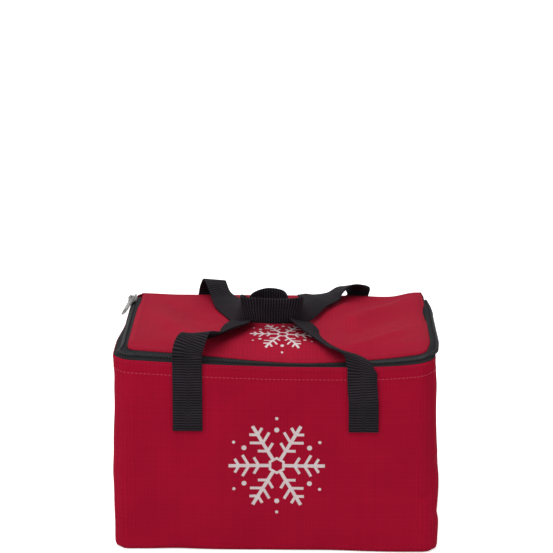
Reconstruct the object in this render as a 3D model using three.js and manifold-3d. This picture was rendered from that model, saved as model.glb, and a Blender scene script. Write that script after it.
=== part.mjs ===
// An insulated lunch bag: five padded walls, a lid zipped on three sides and folded at the
// back, and two webbing handles that lie across the lid. Millimetres, Z up. The front faces -Y
// and the origin is on the floor under the middle of the bag.
import * as THREE from "three";
import { mergeVertices } from "three/addons/utils/BufferGeometryUtils.js";
import Module from "manifold-3d";

// Body
const TOP_WIDTH = 272; // outside, at the zip
const TOP_DEPTH = 154; // outside, at the zip
const LID_HEIGHT = 182; // floor to the top of the lid
const SIDE_BELLY = 3.5; // how far the left and right walls lean out at the foot
const FRONT_BELLY = 3; // the same for the front and back walls
const CORNER_RADIUS = 16; // upright corners at the front
const FOOT_RADIUS = 7.5; // the walls turn under to meet the base
const FOLD_RADIUS = 4; // the lid turns down at the back
const FRONT_SAG = 9; // the front edge hangs this much lower in the middle
const SAG_FOOT = 60; // height at which that sag has died out

// Cloth, from the outside in
const SHELL = 0.8;
const FOAM = 4;
const LINING = 0.5;
const BINDING = 1;
const BINDING_LEG = 10; // how far the rim binding reaches down the lining
const BINDING_DROP = 1.2; // the rim binding stays this far under the edge of the shell
const BINDING_FLANGE = 4.5; // width of the lid binding
const LAYER_GAP = 0.3; // between two layers
const SEAM_GAP = 0.3; // between two pieces that meet edge to edge

// Zip, a flat band that slopes at 45 degrees from the walls up to the lid
const ZIP_WIDTH = 12;
const TAPE = 0.6;
const TAPE_SLOT = 1.4; // between the two tapes, under the teeth
const TAPE_TUCK = 12; // hidden behind the walls
const LID_TUCK = 4.5; // hidden under the lid
const PITCH = 4; // tooth to tooth on one tape
const COMB_BASE = 1.5; // width of the strip that carries the teeth
const COMB_EDGE = 0.9; // from the middle of the zip to that strip
const TOOTH_REACH = 1.4;
const TOOTH_ROOT = 1.9;
const TOOTH_TIP = 1.3;
const TOOTH_HEIGHT = 1.65;
const CHAIN_END_GAP = 0.8; // from the slider's tail to the last tooth

// Zip slider and pull
const SLIDER_LENGTH = 16;
const SLIDER_SHOULDER = 9.2;
const SLIDER_TAIL = 7.6;
const SLIDER_PLATE = 1.1;
const SLIDER_CLEARANCE = 0.35; // round the tapes and the teeth
const SLIDER_REAR_GAP = 1; // to the back panel
const FLANGE = 1;
const FLANGE_LENGTH = 11;
const POST_LENGTH = 4;
const POST_WIDTH = 0.8;
const CROWN_LENGTH = 9;
const CROWN_WIDTH = 2.6;
const CROWN_BAR = 1.3;
const CROWN_FOOT = 2.2;
const PIN_RADIUS = 0.9;
const PIN_CLEARANCE = 0.35;
const PULL_THICKNESS = 1.4;
const PULL_ARM = 1.6;
const PULL_FORK = 7.5; // pin to the solid part
const PULL_LENGTH = 24; // the solid part
const PULL_WIDTH = 8;
const PULL_EYE = 3.2; // radius of the hole near its tip
const PULL_SLANT = 14; // degrees that the tab hangs askew

// Webbing handles
const STRAP_WIDTH = 25;
const STRAP = 1.6;
const STRAP_GAP = 0.3; // to the cloth it is sewn on
const FRONT_SPACING = 150; // between the two ends of the front handle
const REAR_SPACING = 124;
const STRAP_FOOT = 108.5; // floor to the lower end of a sewn strap
const STRAP_STEPS = 4; // stations between two points of a route
const LOOP_CLEARANCE = 2.2; // from the lid to a loop that lies on it
const CROSS_BACK = -20; // where the front loop passes under the rear one, from the lid's middle
const CROSS_HALF = 31; // half of the front loop's width there
const FRONT_LOOP_REACH = 24; // far end of the front loop, behind the lid's middle
const FRONT_LOOP_SHIFT = -9; // that end lies left of the middle
const LEFT_ARCH = 24; // how high the front loop's left leg stands over the zip
const RIGHT_ARCH = 2;
const LEFT_SWING = 0; // how far a leg swings in on its way over the lid
const RIGHT_SWING = 12;
const REAR_LOOP_REACH = 23; // far end of the rear loop, in front of the lid's middle
const REAR_LOOP_SHIFT = -4;
const REAR_LOOP_HALF = 28; // half of the rear loop's width at its far end
const REAR_LOOP_LIFT = 11.5; // its lower edge over the lid
const REAR_LEFT_ARCH = 16; // how high its legs stand over the fold
const REAR_RIGHT_ARCH = 9;

// Facets
const FRONT_STEPS = 12;
const CORNER_STEPS = 3;
const LID_STEPS = 4;

// Places that follow from those sizes
const HALF_WIDTH = TOP_WIDTH / 2;
const HALF_DEPTH = TOP_DEPTH / 2;
const CORE_X = HALF_WIDTH - CORNER_RADIUS;
const CORE_Y = HALF_DEPTH - CORNER_RADIUS;
const TAPE_DEPTH = SHELL + LAYER_GAP + TAPE / 2; // middle of a tape behind the shell
const UNDER_TAPE = TAPE_DEPTH + TAPE / 2 + LAYER_GAP;
const LID_INSET = TAPE_DEPTH + ZIP_WIDTH * Math.SQRT1_2;
const RIM = LID_HEIGHT - LID_INSET; // top edge of the front and side walls
const HINGE_HEIGHT = RIM + (ZIP_WIDTH / 2) * Math.SQRT1_2;
const STRAP_MIDDLE = STRAP_GAP + STRAP / 2; // from the wall to the middle of a strap
const layer = (outer, thickness) => ({ outer, inner: outer + thickness });
const SHELL_LAYER = layer(0, SHELL);
const FOAM_LAYER = layer(SHELL_LAYER.inner + LAYER_GAP, FOAM);
const LINING_LAYER = layer(FOAM_LAYER.inner + LAYER_GAP, LINING);
const BINDING_LAYER = layer(LINING_LAYER.inner + LAYER_GAP, BINDING);
const FILL_TOP = RIM - BINDING_DROP - BINDING - LAYER_GAP; // top of the foam and the lining

const cloth = (color) => new THREE.MeshStandardMaterial({ color, roughness: 0.9, metalness: 0 });
const RED = cloth(0x9c1430);
const BLACK = cloth(0x232427);
const FOAM_WHITE = cloth(0xe8e5dd);
const FOIL = new THREE.MeshStandardMaterial({ color: 0xc2c6ca, roughness: 0.35, metalness: 0.8 });
const ZINC = new THREE.MeshStandardMaterial({ color: 0x9b9da1, roughness: 0.4, metalness: 1 });
const RESIN = new THREE.MeshStandardMaterial({ color: 0x1b1c1f, roughness: 0.5, metalness: 0 });

// The walls lean out towards the foot.
const belly = (z) => Math.max(0, 1 - (z / RIM) ** 2);
const sideFlare = (z) => SIDE_BELLY * belly(z);
const frontFlare = (z) => FRONT_BELLY * belly(z);

// The front edge, and the lid with it, hangs in the middle. The fold at the back stays straight.
function sag(x, y, z) {
  const across = Math.cos((Math.PI / 2) * Math.min(1, Math.abs(x) / HALF_WIDTH)) ** 2;
  const forward = THREE.MathUtils.clamp((HALF_DEPTH - y) / TOP_DEPTH, 0, 1);
  return FRONT_SAG * across * forward * THREE.MathUtils.smoothstep(z, SAG_FOOT, RIM);
}
const sagged = (x, y, z) => [x, y, z - sag(x, y, z)];

// A closed solid through rings of points. `flat` is the outline that closes the two ends. A
// four-sided patch is split along its higher diagonal, so that layers which face each other
// are split alike.
function loft(rings, flat, closed = false) {
  const count = flat.length;
  const index = [];
  const spans = closed ? rings.length : rings.length - 1;
  const height = (i) => rings[Math.floor(i / count)][i % count][2];
  for (let i = 0; i < spans; i++) {
    const here = i * count;
    const next = ((i + 1) % rings.length) * count;
    for (let j = 0; j < count; j++) {
      const k = (j + 1) % count;
      const [a, b, c, d] = [here + j, here + k, next + k, next + j];
      const risesHere = height(a) + height(c) >= height(b) + height(d);
      index.push(...(risesHere ? [a, b, c, a, c, d] : [a, b, d, b, c, d]));
    }
  }
  if (!closed) {
    const outline = flat.map(([a, b]) => new THREE.Vector2(a, b));
    const turn = Math.sign(THREE.ShapeUtils.area(outline));
    const last = (rings.length - 1) * count;
    for (const triangle of THREE.ShapeUtils.triangulateShape(outline, [])) {
      const corners = triangle.map((i) => outline[i]);
      const [a, b, c] = THREE.ShapeUtils.area(corners) * turn > 0 ? triangle : triangle.reverse();
      index.push(a, c, b, last + a, last + b, last + c);
    }
  }
  return facingOut(rings.flat(2), index);
}

// A geometry whose faces point out, whichever way its rings were wound.
function facingOut(positions, index) {
  const corner = (i) => new THREE.Vector3().fromArray(positions, 3 * i);
  let volume = 0;
  for (let i = 0; i < index.length; i += 3) {
    const [a, b, c] = [corner(index[i]), corner(index[i + 1]), corner(index[i + 2])];
    volume += a.dot(b.cross(c));
  }
  const geometry = new THREE.BufferGeometry();
  geometry.setAttribute("position", new THREE.Float32BufferAttribute(positions, 3));
  geometry.setIndex(volume < 0 ? [...index].reverse() : index);
  return geometry;
}

// Stations round the bag. Each gives the plan place of a point that lies `inset` behind the
// outer face at the height z.
const cutIn = (z) => Math.max(0, z - RIM);
const frontFace = (x) => (inset, z) => [x, -(HALF_DEPTH - inset + frontFlare(z))];
const backFace = (x) => (inset, z) => [x, HALF_DEPTH - inset + frontFlare(z)];
const sideFace = (side, y) => (inset, z) => [side * (HALF_WIDTH - inset + sideFlare(z)), y];
const frontCorner = (side, turn) => (inset, z) => [
  side * (CORE_X + Math.cos(turn) * (CORNER_RADIUS - inset + sideFlare(z))),
  -(CORE_Y + Math.sin(turn) * (CORNER_RADIUS - inset + frontFlare(z))),
];
const rearCorner =
  (side, sideGap = 0, backGap = 0) =>
  (inset, z) => [
    side * (HALF_WIDTH - inset + sideFlare(z) - sideGap - cutIn(z)),
    HALF_DEPTH - inset + frontFlare(z) - backGap,
  ];
const steps = (from, to, count) =>
  Array.from({ length: count + 1 }, (_, i) => from + ((to - from) * i) / count);
const frontRun = () => steps(-CORE_X, CORE_X, FRONT_STEPS);

// A section of [inset, height] points carried through stations.
function sweep(stations, section, { closed = false, hang = sagged } = {}) {
  const rings = stations.map((station, i) => {
    const points = typeof section === "function" ? section(i) : section;
    return points.map(([inset, z]) => hang(...station(inset, z), z));
  });
  const first = typeof section === "function" ? section(0) : section;
  const flat = first.map(([inset, z]) => [inset - sideFlare(z), z]);
  return loft(rings, flat, closed);
}

// One side of a wall layer: it leaves the base, turns up round the foot and rises to the top.
function wallLine(inset, top, rows = [45, 90, 130]) {
  const radius = FOOT_RADIUS - inset;
  const foot = steps(0, Math.PI / 2, 3).map((turn) => [
    FOOT_RADIUS - radius * Math.sin(turn),
    FOOT_RADIUS - radius * Math.cos(turn),
  ]);
  const heights = rows.map((row) => (row / 175) * RIM);
  return [...foot, ...heights.map((z) => [inset, z]), [inset, top]];
}

const wallSection = ({ outer, inner }, top) => [
  ...wallLine(outer, top),
  ...wallLine(inner, top).reverse(),
];

// The foam steps in behind the tape that is sewn between it and the shell.
function foamSection({ outer, inner }, top, step) {
  const line = wallLine(outer, step);
  return [...line, [UNDER_TAPE, step], [UNDER_TAPE, top], ...wallLine(inner, top).reverse()];
}

function sideStations(side, { inner }) {
  const seam = Math.PI / 4 - SEAM_GAP / 2 / (CORNER_RADIUS - inner);
  const corner = steps(0, seam, CORNER_STEPS).map((turn) => frontCorner(side, turn));
  return [rearCorner(side, 0, SEAM_GAP), ...corner];
}

function frontStations({ inner }) {
  const seam = Math.PI / 4 + SEAM_GAP / 2 / (CORNER_RADIUS - inner);
  const turns = steps(seam, Math.PI / 2, CORNER_STEPS).slice(0, -1);
  const left = turns.map((turn) => frontCorner(-1, turn));
  const right = turns.map((turn) => frontCorner(1, turn)).reverse();
  return [...left, ...frontRun().map(frontFace), ...right];
}

const backStations = (gap = SEAM_GAP) => [rearCorner(-1, gap), rearCorner(1, gap)];

// The floor of a layer lies inside the turned edges of its four walls.
function floor({ outer, inner }) {
  const inset = FOOT_RADIUS + SEAM_GAP;
  const turns = steps(0, Math.PI / 2, 2 * CORNER_STEPS);
  const stations = [
    rearCorner(-1),
    ...turns.map((turn) => frontCorner(-1, turn)),
    ...turns.map((turn) => frontCorner(1, turn)).reverse(),
    rearCorner(1),
  ];
  const outline = stations.map((station) => station(inset, 0));
  const ring = (z) => outline.map(([x, y]) => [x, y, z]);
  return loft([ring(outer), ring(inner)], outline);
}

// Plates of the lid: [x, y] of the front edge from left to right, with its two round corners.
function lidEdge(inset) {
  const radius = CORNER_RADIUS - inset;
  const corner = steps(0, Math.PI / 2, CORNER_STEPS).slice(0, -1);
  const left = corner.map((turn) => [
    -CORE_X - radius * Math.cos(turn),
    -CORE_Y - radius * Math.sin(turn),
  ]);
  const right = left.map(([x, y]) => [-x, y]).reverse();
  const run = frontRun().map((x) => [x, -CORE_Y - radius]);
  return [...left, ...run, ...right];
}

function lidPlate(inset, rear, top, bottom) {
  const section = (front) => [
    ...steps(front, rear, LID_STEPS).map((y) => [y, top]),
    ...steps(rear, front, LID_STEPS).map((y) => [y, bottom]),
  ];
  const edge = lidEdge(inset);
  const rings = edge.map(([x, front]) => section(front).map(([y, z]) => sagged(x, y, z)));
  return loft(rings, section(edge[0][1]));
}

// The lid's shell turns down at the back in a lip that meets the back panel at the fold.
function lidShell() {
  const lipEnd = HINGE_HEIGHT + SEAM_GAP / 2;
  const bend = (radius) =>
    steps(0, Math.PI / 2, CORNER_STEPS).map((turn) => [
      HALF_DEPTH - FOLD_RADIUS + radius * Math.sin(turn),
      LID_HEIGHT - FOLD_RADIUS + radius * Math.cos(turn),
    ]);
  const inside = bend(FOLD_RADIUS - SHELL).reverse();
  const rows = (front) => steps(front, HALF_DEPTH - FOLD_RADIUS, LID_STEPS).slice(0, -1);
  const section = (front) => [
    ...rows(front).map((y) => [y, LID_HEIGHT]),
    ...bend(FOLD_RADIUS),
    [HALF_DEPTH, lipEnd],
    [HALF_DEPTH - SHELL, lipEnd],
    ...inside,
    ...rows(front).map((y) => [y, LID_HEIGHT - SHELL]).reverse(),
  ];
  const edge = lidEdge(LID_INSET);
  const rings = edge.map(([x, front], i) => {
    const end = i === 0 || i === edge.length - 1;
    return section(front).map(([y, z]) => {
      const lip = end && y > HALF_DEPTH - FOLD_RADIUS;
      const spread = lip ? Math.sign(x) * (LID_HEIGHT - z) : 0;
      const [, , height] = sagged(x, y, z);
      return [x + spread, y, height];
    });
  });
  return loft(rings, section(edge[0][1]));
}

// Rings: the binding over the rim of the tub, and the one under the edge of the lid.
function cornerRun(side, count) {
  return steps(0, Math.PI / 2, count).map((turn) => frontCorner(side, turn));
}

function ringStations(rear) {
  return [
    rear(-1),
    ...cornerRun(-1, CORNER_STEPS + 1),
    ...frontRun().slice(1, -1).map(frontFace),
    ...cornerRun(1, CORNER_STEPS + 1).reverse(),
    rear(1),
  ];
}

function rimBinding() {
  const top = RIM - BINDING_DROP;
  const section = [
    [UNDER_TAPE, top],
    [BINDING_LAYER.inner, top],
    [BINDING_LAYER.inner, top - BINDING_LEG],
    [BINDING_LAYER.outer, top - BINDING_LEG],
    [BINDING_LAYER.outer, top - BINDING],
    [UNDER_TAPE, top - BINDING],
  ];
  return sweep(ringStations(rearCorner), section, { closed: true });
}

const LID_FILL_INSET = LID_INSET + BINDING + 2 * LAYER_GAP + SLIDER_PLATE / 2;
const LID_FOAM_TOP = LID_HEIGHT - UNDER_TAPE;
const LID_LINING_TOP = LID_FOAM_TOP - FOAM - LAYER_GAP;
const LID_BINDING_TOP = LID_LINING_TOP - LINING - LAYER_GAP;
const LID_BINDING_REAR = HALF_DEPTH - FOLD_RADIUS;
const LID_FILL_REAR = LID_BINDING_REAR - BINDING - LAYER_GAP;

function lidBinding() {
  const edge = LID_FILL_INSET - LAYER_GAP - BINDING;
  const rear = (side) => (inset) => [side * (HALF_WIDTH - inset), LID_BINDING_REAR - inset + edge];
  const section = [
    [edge, LID_FOAM_TOP - LAYER_GAP],
    [edge + BINDING, LID_FOAM_TOP - LAYER_GAP],
    [edge + BINDING, LID_BINDING_TOP],
    [edge + BINDING_FLANGE, LID_BINDING_TOP],
    [edge + BINDING_FLANGE, LID_BINDING_TOP - BINDING],
    [edge, LID_BINDING_TOP - BINDING],
  ];
  const back = (x) => (inset) => [x, LID_BINDING_REAR - inset + edge];
  const stations = [...ringStations(rear), ...frontRun().reverse().map(back)];
  return sweep(stations, section, { closed: true });
}

// The zip. A point of its sloping band is t up the slope and n out from the middle of the tapes.
const onZip = (t, n) => [
  TAPE_DEPTH + (t - n) * Math.SQRT1_2,
  RIM + (t + n) * Math.SQRT1_2,
];

// The two sides of a tape bent once, as an outline of [inset, height] points.
function bentTape(start, bend, end) {
  const offset = (from, to, side) => {
    const along = new THREE.Vector2(to[0] - from[0], to[1] - from[1]).normalize();
    return [-along.y * side * (TAPE / 2), along.x * side * (TAPE / 2)];
  };
  const turn = Math.PI / 8;
  const line = (side) => {
    const a = offset(start, bend, side);
    const b = offset(bend, end, side);
    const mitre = [(a[0] + b[0]) / 2, (a[1] + b[1]) / 2];
    const stretch = 1 / Math.cos(turn) ** 2;
    return [
      [start[0] + a[0], start[1] + a[1]],
      [bend[0] + mitre[0] * stretch, bend[1] + mitre[1] * stretch],
      [end[0] + b[0], end[1] + b[1]],
    ];
  };
  return [...line(1), ...line(-1).reverse()];
}

const ZIP_MIDDLE = ZIP_WIDTH / 2;
const SLIDER_BACK = HALF_DEPTH - SHELL - SLIDER_REAR_GAP;
const SLIDER_TAIL_END = SLIDER_BACK - SLIDER_LENGTH;

// The rear ends of the tapes stop behind the back panel and under the bend of the lid.
function rearEnd(side) {
  const radius = FOLD_RADIUS - SHELL - SEAM_GAP;
  return (inset, z) => {
    const rise = Math.max(0, z - (LID_HEIGHT - FOLD_RADIUS));
    const reach = Math.sqrt(Math.max(0, radius ** 2 - rise ** 2));
    return sideFace(side, HALF_DEPTH - FOLD_RADIUS + reach)(inset, z);
  };
}

function railStations(leftYs = []) {
  return [
    rearEnd(-1),
    ...leftYs.map((y) => sideFace(-1, y)),
    ...cornerRun(-1, 2 * CORNER_STEPS),
    ...frontRun().slice(1, -1).map(frontFace),
    ...cornerRun(1, 2 * CORNER_STEPS).reverse(),
    rearEnd(1),
  ];
}

function lowerTape() {
  const section = bentTape(
    [TAPE_DEPTH, RIM - TAPE_TUCK],
    onZip(0, 0),
    onZip(ZIP_MIDDLE - TAPE_SLOT / 2, 0),
  );
  return sweep(railStations(), section);
}

// The upper tape's rear left end is turned under the lid, so that the slider parks clear of it.
function upperTape() {
  const [bendInset, bendHeight] = onZip(ZIP_WIDTH, 0);
  const section = (edge) =>
    bentTape(onZip(edge, 0), [bendInset, bendHeight], [bendInset + LID_TUCK, bendHeight]);
  const whole = section(ZIP_MIDDLE + TAPE_SLOT / 2);
  const turned = section(ZIP_MIDDLE + SLIDER_SHOULDER / 2 + SLIDER_CLEARANCE);
  const turnEnd = SLIDER_TAIL_END - SEAM_GAP;
  const leftYs = [turnEnd, turnEnd - CHAIN_END_GAP];
  return sweep(railStations(leftYs), (i) => (i < 2 ? turned : whole));
}

// Half of the chain: a strip with teeth, laid along the three sides. Distances are measured
// along the middle of the zip, from the rear of the left side.
const CHAIN_REAR = SLIDER_TAIL_END - CHAIN_END_GAP - SEAM_GAP;
const CHAIN_RADIUS = CORNER_RADIUS - onZip(ZIP_MIDDLE, 0)[0];
const CHAIN_SIDE = CHAIN_REAR + CORE_Y;
const CHAIN_CORNER = (CHAIN_RADIUS * Math.PI) / 2;
const CHAIN_LENGTH = 2 * (CHAIN_SIDE + CHAIN_CORNER + CORE_X);

function railAt(distance) {
  const half = CHAIN_LENGTH / 2;
  const side = distance < half ? -1 : 1;
  const run = half - Math.abs(distance - half);
  if (run < CHAIN_SIDE) return sideFace(side, CHAIN_REAR - run);
  const turned = (run - CHAIN_SIDE) / CHAIN_RADIUS;
  if (turned < Math.PI / 2) return frontCorner(side, turned);
  return frontFace(side * (half - run));
}

function comb(up, phase) {
  const back = ZIP_MIDDLE + up * (COMB_EDGE + COMB_BASE);
  const root = ZIP_MIDDLE + up * COMB_EDGE;
  const tip = ZIP_MIDDLE + up * (COMB_EDGE - TOOTH_REACH);
  const low = TAPE / 2 + LAYER_GAP;
  const high = low + TOOTH_HEIGHT;
  const positions = [];
  const index = [];
  const put = (distance, t) => {
    for (const n of [low, high]) {
      const [inset, z] = onZip(t, n);
      positions.push(...sagged(...railAt(distance)(inset, z), z));
    }
    return positions.length / 3 - 2;
  };
  // A wall between two upright edges, and a floor and a roof over four of them.
  const wall = (b, a) => index.push(a, b, b + 1, a, b + 1, a + 1);
  const plate = (a, b, c, d) => {
    index.push(a, c, b, a, d, c);
    index.push(a + 1, b + 1, c + 1, a + 1, c + 1, d + 1);
  };
  const column = (distance) => ({ back: put(distance, back), root: put(distance, root) });
  const teeth = Math.floor((CHAIN_LENGTH - phase - TOOTH_ROOT) / PITCH);
  let last = column(0);
  wall(last.back, last.root);
  for (let i = 0; i < teeth; i++) {
    const middle = phase + TOOTH_ROOT / 2 + i * PITCH;
    const from = column(middle - TOOTH_ROOT / 2 + LAYER_GAP / 2);
    const to = column(middle + TOOTH_ROOT / 2);
    const tipFrom = put(middle - TOOTH_TIP / 2, tip);
    const tipTo = put(middle + TOOTH_TIP / 2, tip);
    plate(last.back, from.back, from.root, last.root);
    plate(from.back, to.back, to.root, from.root);
    plate(from.root, to.root, tipTo, tipFrom);
    wall(from.back, last.back);
    wall(to.back, from.back);
    wall(last.root, from.root);
    wall(from.root, tipFrom);
    wall(tipFrom, tipTo);
    wall(tipTo, to.root);
    last = to;
  }
  const end = column(CHAIN_LENGTH);
  plate(last.back, end.back, end.root, last.root);
  wall(end.back, last.back);
  wall(last.root, end.root);
  wall(end.root, end.back);
  return facingOut(positions, index);
}

// The slider and its pull, drawn flat: X is the way it travels, Y is up the slope, Z is out.
const wasm = await Module();
wasm.setup();

function solidOf(geometry) {
  const bare = new THREE.BufferGeometry();
  bare.setAttribute("position", geometry.getAttribute("position").clone());
  bare.setIndex(geometry.index);
  const merged = mergeVertices(bare, 1e-4);
  const mesh = new wasm.Mesh({
    numProp: 3,
    vertProperties: merged.attributes.position.array,
    triVerts: new Uint32Array(merged.index.array),
  });
  return new wasm.Manifold(mesh);
}

function joined(...geometries) {
  const whole = geometries.map(solidOf).reduce((sum, piece) => sum.add(piece));
  const mesh = whole.getMesh();
  const geometry = new THREE.BufferGeometry();
  geometry.setAttribute("position", new THREE.BufferAttribute(mesh.vertProperties, 3));
  geometry.setIndex(new THREE.BufferAttribute(mesh.triVerts, 1));
  return geometry;
}

const extruded = (shape, depth, from) =>
  new THREE.ExtrudeGeometry(shape, { depth, bevelEnabled: false, curveSegments: 4 }).translate(
    0,
    0,
    from,
  );
const block = (length, width, height) => new THREE.BoxGeometry(length, width, height);

const PLATE_UNDER = -TAPE / 2 - SLIDER_CLEARANCE; // inner face of the lower plate
const PLATE_OVER = TAPE / 2 + LAYER_GAP + TOOTH_HEIGHT + SLIDER_CLEARANCE; // and of the upper one
const SLIDER_TOP = PLATE_OVER + SLIDER_PLATE;
const PIN_HEIGHT = SLIDER_TOP + PIN_CLEARANCE + PIN_RADIUS;

function sliderPlate() {
  const half = SLIDER_LENGTH / 2;
  const wide = SLIDER_SHOULDER / 2;
  const narrow = SLIDER_TAIL / 2;
  const round = narrow / 2;
  const shape = new THREE.Shape();
  shape.moveTo(half, -narrow + round);
  shape.lineTo(half, narrow - round);
  shape.quadraticCurveTo(half, narrow, half - round, narrow);
  shape.bezierCurveTo(0, narrow, 0, wide, -half + 2 * round, wide);
  shape.quadraticCurveTo(-half, wide, -half, wide - round);
  shape.quadraticCurveTo(-half + round, 0, -half, -wide + round);
  shape.quadraticCurveTo(-half, -wide, -half + 2 * round, -wide);
  shape.bezierCurveTo(0, -wide, 0, -narrow, half - round, -narrow);
  shape.quadraticCurveTo(half, -narrow, half, -narrow + round);
  return shape;
}

function slider() {
  const outline = sliderPlate();
  const tail = SLIDER_LENGTH / 2;
  const flangeHeight = PLATE_OVER + SLIDER_PLATE / 2 + PLATE_UNDER;
  const flange = (side) =>
    block(FLANGE_LENGTH - FLANGE, FLANGE, flangeHeight).translate(
      tail - FLANGE - FLANGE_LENGTH / 2,
      (side * (SLIDER_TAIL - FLANGE)) / 2,
      flangeHeight / 2 - PLATE_UNDER,
    );
  const postHeight = SLIDER_TOP - PLATE_UNDER;
  const post = block(POST_LENGTH, POST_WIDTH, postHeight).translate(
    -tail + SLIDER_TAIL / 2 + POST_LENGTH / 2,
    0,
    PLATE_UNDER + postHeight / 2 - SLIDER_PLATE / 2,
  );
  const top = PIN_HEIGHT + PIN_RADIUS + PIN_CLEARANCE;
  const reach = CROWN_LENGTH / 2;
  const gap = reach - CROWN_FOOT;
  const arch = new THREE.Shape();
  arch.moveTo(-reach, PLATE_OVER + SLIDER_PLATE / 2);
  arch.lineTo(-reach, top - CROWN_BAR);
  arch.quadraticCurveTo(-reach, top + CROWN_BAR, 0, top + CROWN_BAR);
  arch.quadraticCurveTo(reach, top + CROWN_BAR, reach, top - CROWN_BAR);
  arch.lineTo(reach, PLATE_OVER + SLIDER_PLATE / 2);
  arch.lineTo(gap, PLATE_OVER + SLIDER_PLATE / 2);
  arch.lineTo(gap, top);
  arch.lineTo(-gap, top);
  arch.lineTo(-gap, PLATE_OVER + SLIDER_PLATE / 2);
  arch.closePath();
  const crown = extruded(arch, CROWN_WIDTH, -CROWN_WIDTH / 2).rotateX(Math.PI / 2);
  return joined(
    extruded(outline, SLIDER_PLATE, PLATE_OVER),
    extruded(outline, SLIDER_PLATE, PLATE_UNDER - SLIDER_PLATE),
    flange(-1),
    flange(1),
    post,
    crown,
  );
}

// The pull: a pin under the crown, a fork beside it, and a tab with an eye.
function pull() {
  const inside = CROWN_WIDTH / 2 + PIN_CLEARANCE;
  const outside = inside + PULL_ARM;
  const from = PIN_HEIGHT - PULL_THICKNESS / 2;
  const fork = new THREE.Shape();
  fork.moveTo(-PIN_RADIUS, -outside);
  fork.lineTo(PULL_FORK + PULL_ARM, -outside);
  fork.lineTo(PULL_FORK + PULL_ARM, outside);
  fork.lineTo(-PIN_RADIUS, outside);
  fork.lineTo(-PIN_RADIUS, inside);
  fork.lineTo(PULL_FORK, inside);
  fork.lineTo(PULL_FORK, -inside);
  fork.lineTo(-PIN_RADIUS, -inside);
  fork.closePath();
  const half = PULL_WIDTH / 2;
  const tab = new THREE.Shape();
  tab.moveTo(0, -outside);
  tab.lineTo(PULL_LENGTH - half, -half);
  tab.absarc(PULL_LENGTH - half, 0, half, -Math.PI / 2, Math.PI / 2, false);
  tab.lineTo(0, outside);
  tab.closePath();
  const eye = new THREE.Path();
  eye.absarc(PULL_LENGTH - half - PULL_ARM / 2, 0, PULL_EYE / 2 + PULL_ARM / 2, 0, 2 * Math.PI, true);
  tab.holes.push(eye);
  const turned = extruded(tab, PULL_THICKNESS, from)
    .rotateZ(THREE.MathUtils.degToRad(-PULL_SLANT))
    .translate(PULL_FORK + PULL_ARM / 2, 0, 0);
  const pin = new THREE.CylinderGeometry(PIN_RADIUS, PIN_RADIUS, 2 * outside, 12);
  return joined(extruded(fork, PULL_THICKNESS, from), turned, pin.translate(0, 0, PIN_HEIGHT));
}

function onLeftZip() {
  const [inset, height] = onZip(ZIP_MIDDLE, 0);
  const place = new THREE.Group();
  const upSlope = new THREE.Vector3(Math.SQRT1_2, 0, Math.SQRT1_2);
  const out = new THREE.Vector3(-Math.SQRT1_2, 0, Math.SQRT1_2);
  place.applyMatrix4(new THREE.Matrix4().makeBasis(new THREE.Vector3(0, -1, 0), upSlope, out));
  place.position.set(-(HALF_WIDTH - inset), SLIDER_BACK - SLIDER_LENGTH / 2, height);
  return place;
}

// The handles. A sewn end lies flat on its wall and stops just under the line where it bends.
const NOSE = STRAP / 2;
const STRAP_BEND = HINGE_HEIGHT + 6; // where a strap turns over the edge of the bag

function sewnEnd(face, middle) {
  const top = HINGE_HEIGHT - NOSE - SEAM_GAP;
  const heights = [...steps(STRAP_FOOT, RIM, 4), top];
  const line = (inset) => heights.map((z) => [-inset, z]);
  const section = [...line(STRAP_GAP), ...line(STRAP_GAP + STRAP).reverse()];
  const stations = [middle - STRAP_WIDTH / 2, middle + STRAP_WIDTH / 2].map(face);
  return sweep(stations, section, { hang: (x, y, z) => [x, y, z] });
}

// One point of a route: its middle, and the way the strap's inner edge points. The tilt is the
// angle of the strap to the lid: 0 lies flat, 90 stands on edge.
function onRoute(x, y, z, inward, tilt) {
  const turn = THREE.MathUtils.degToRad(tilt);
  const across = new THREE.Vector3(inward[0], inward[1], 0).normalize();
  across.multiplyScalar(Math.cos(turn)).setZ(Math.sin(turn));
  return { middle: new THREE.Vector3(x, y, z), across };
}

// The same, by the height of the strap's lower edge over the lid.
function overLid(x, y, low, inward, tilt) {
  const edge = (STRAP_WIDTH / 2) * Math.sin(THREE.MathUtils.degToRad(tilt));
  const lid = LID_HEIGHT - sag(x, y, LID_HEIGHT);
  return onRoute(x, y, lid + low + STRAP / 2 + edge, inward, tilt);
}

function frontLeg(side, arch, swing) {
  const end = (side * FRONT_SPACING) / 2;
  const front = -HALF_DEPTH - STRAP_MIDDLE;
  const shift = FRONT_LOOP_SHIFT;
  const half = CROSS_HALF;
  const far = FRONT_LOOP_REACH;
  const low = LOOP_CLEARANCE;
  return [
    onRoute(end, front, HINGE_HEIGHT, [-side, 0], 0),
    onRoute(end, front + 0.5, STRAP_BEND - 2, [-side, 0], 0),
    onRoute(end - side * (2 + 0.2 * swing), front + 7, STRAP_BEND + 0.5 * arch, [-side, -0.1], 4),
    onRoute(end - side * (6 + 0.7 * swing), front + 19, STRAP_BEND + 0.25 * arch, [-side, -0.35], 12),
    overLid(end - side * (17 + swing), front + 33, low, [-side, -0.6], 20),
    overLid(side * (half + 13) + 0.7 * shift, CROSS_BACK - 15, low, [-side, -0.5], 18),
    overLid(side * half + shift, CROSS_BACK, low, [-side, -0.4], 9),
    overLid(side * (half - 7) + shift, CROSS_BACK + 15, low, [-side, -0.4], 14),
    overLid(side * (half - 13) + shift, far - 15, low, [-side, -0.5], 55),
    overLid(side * (half - 21) + shift, far - 4, low, [-side, -1.5], 84),
  ];
}

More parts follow.
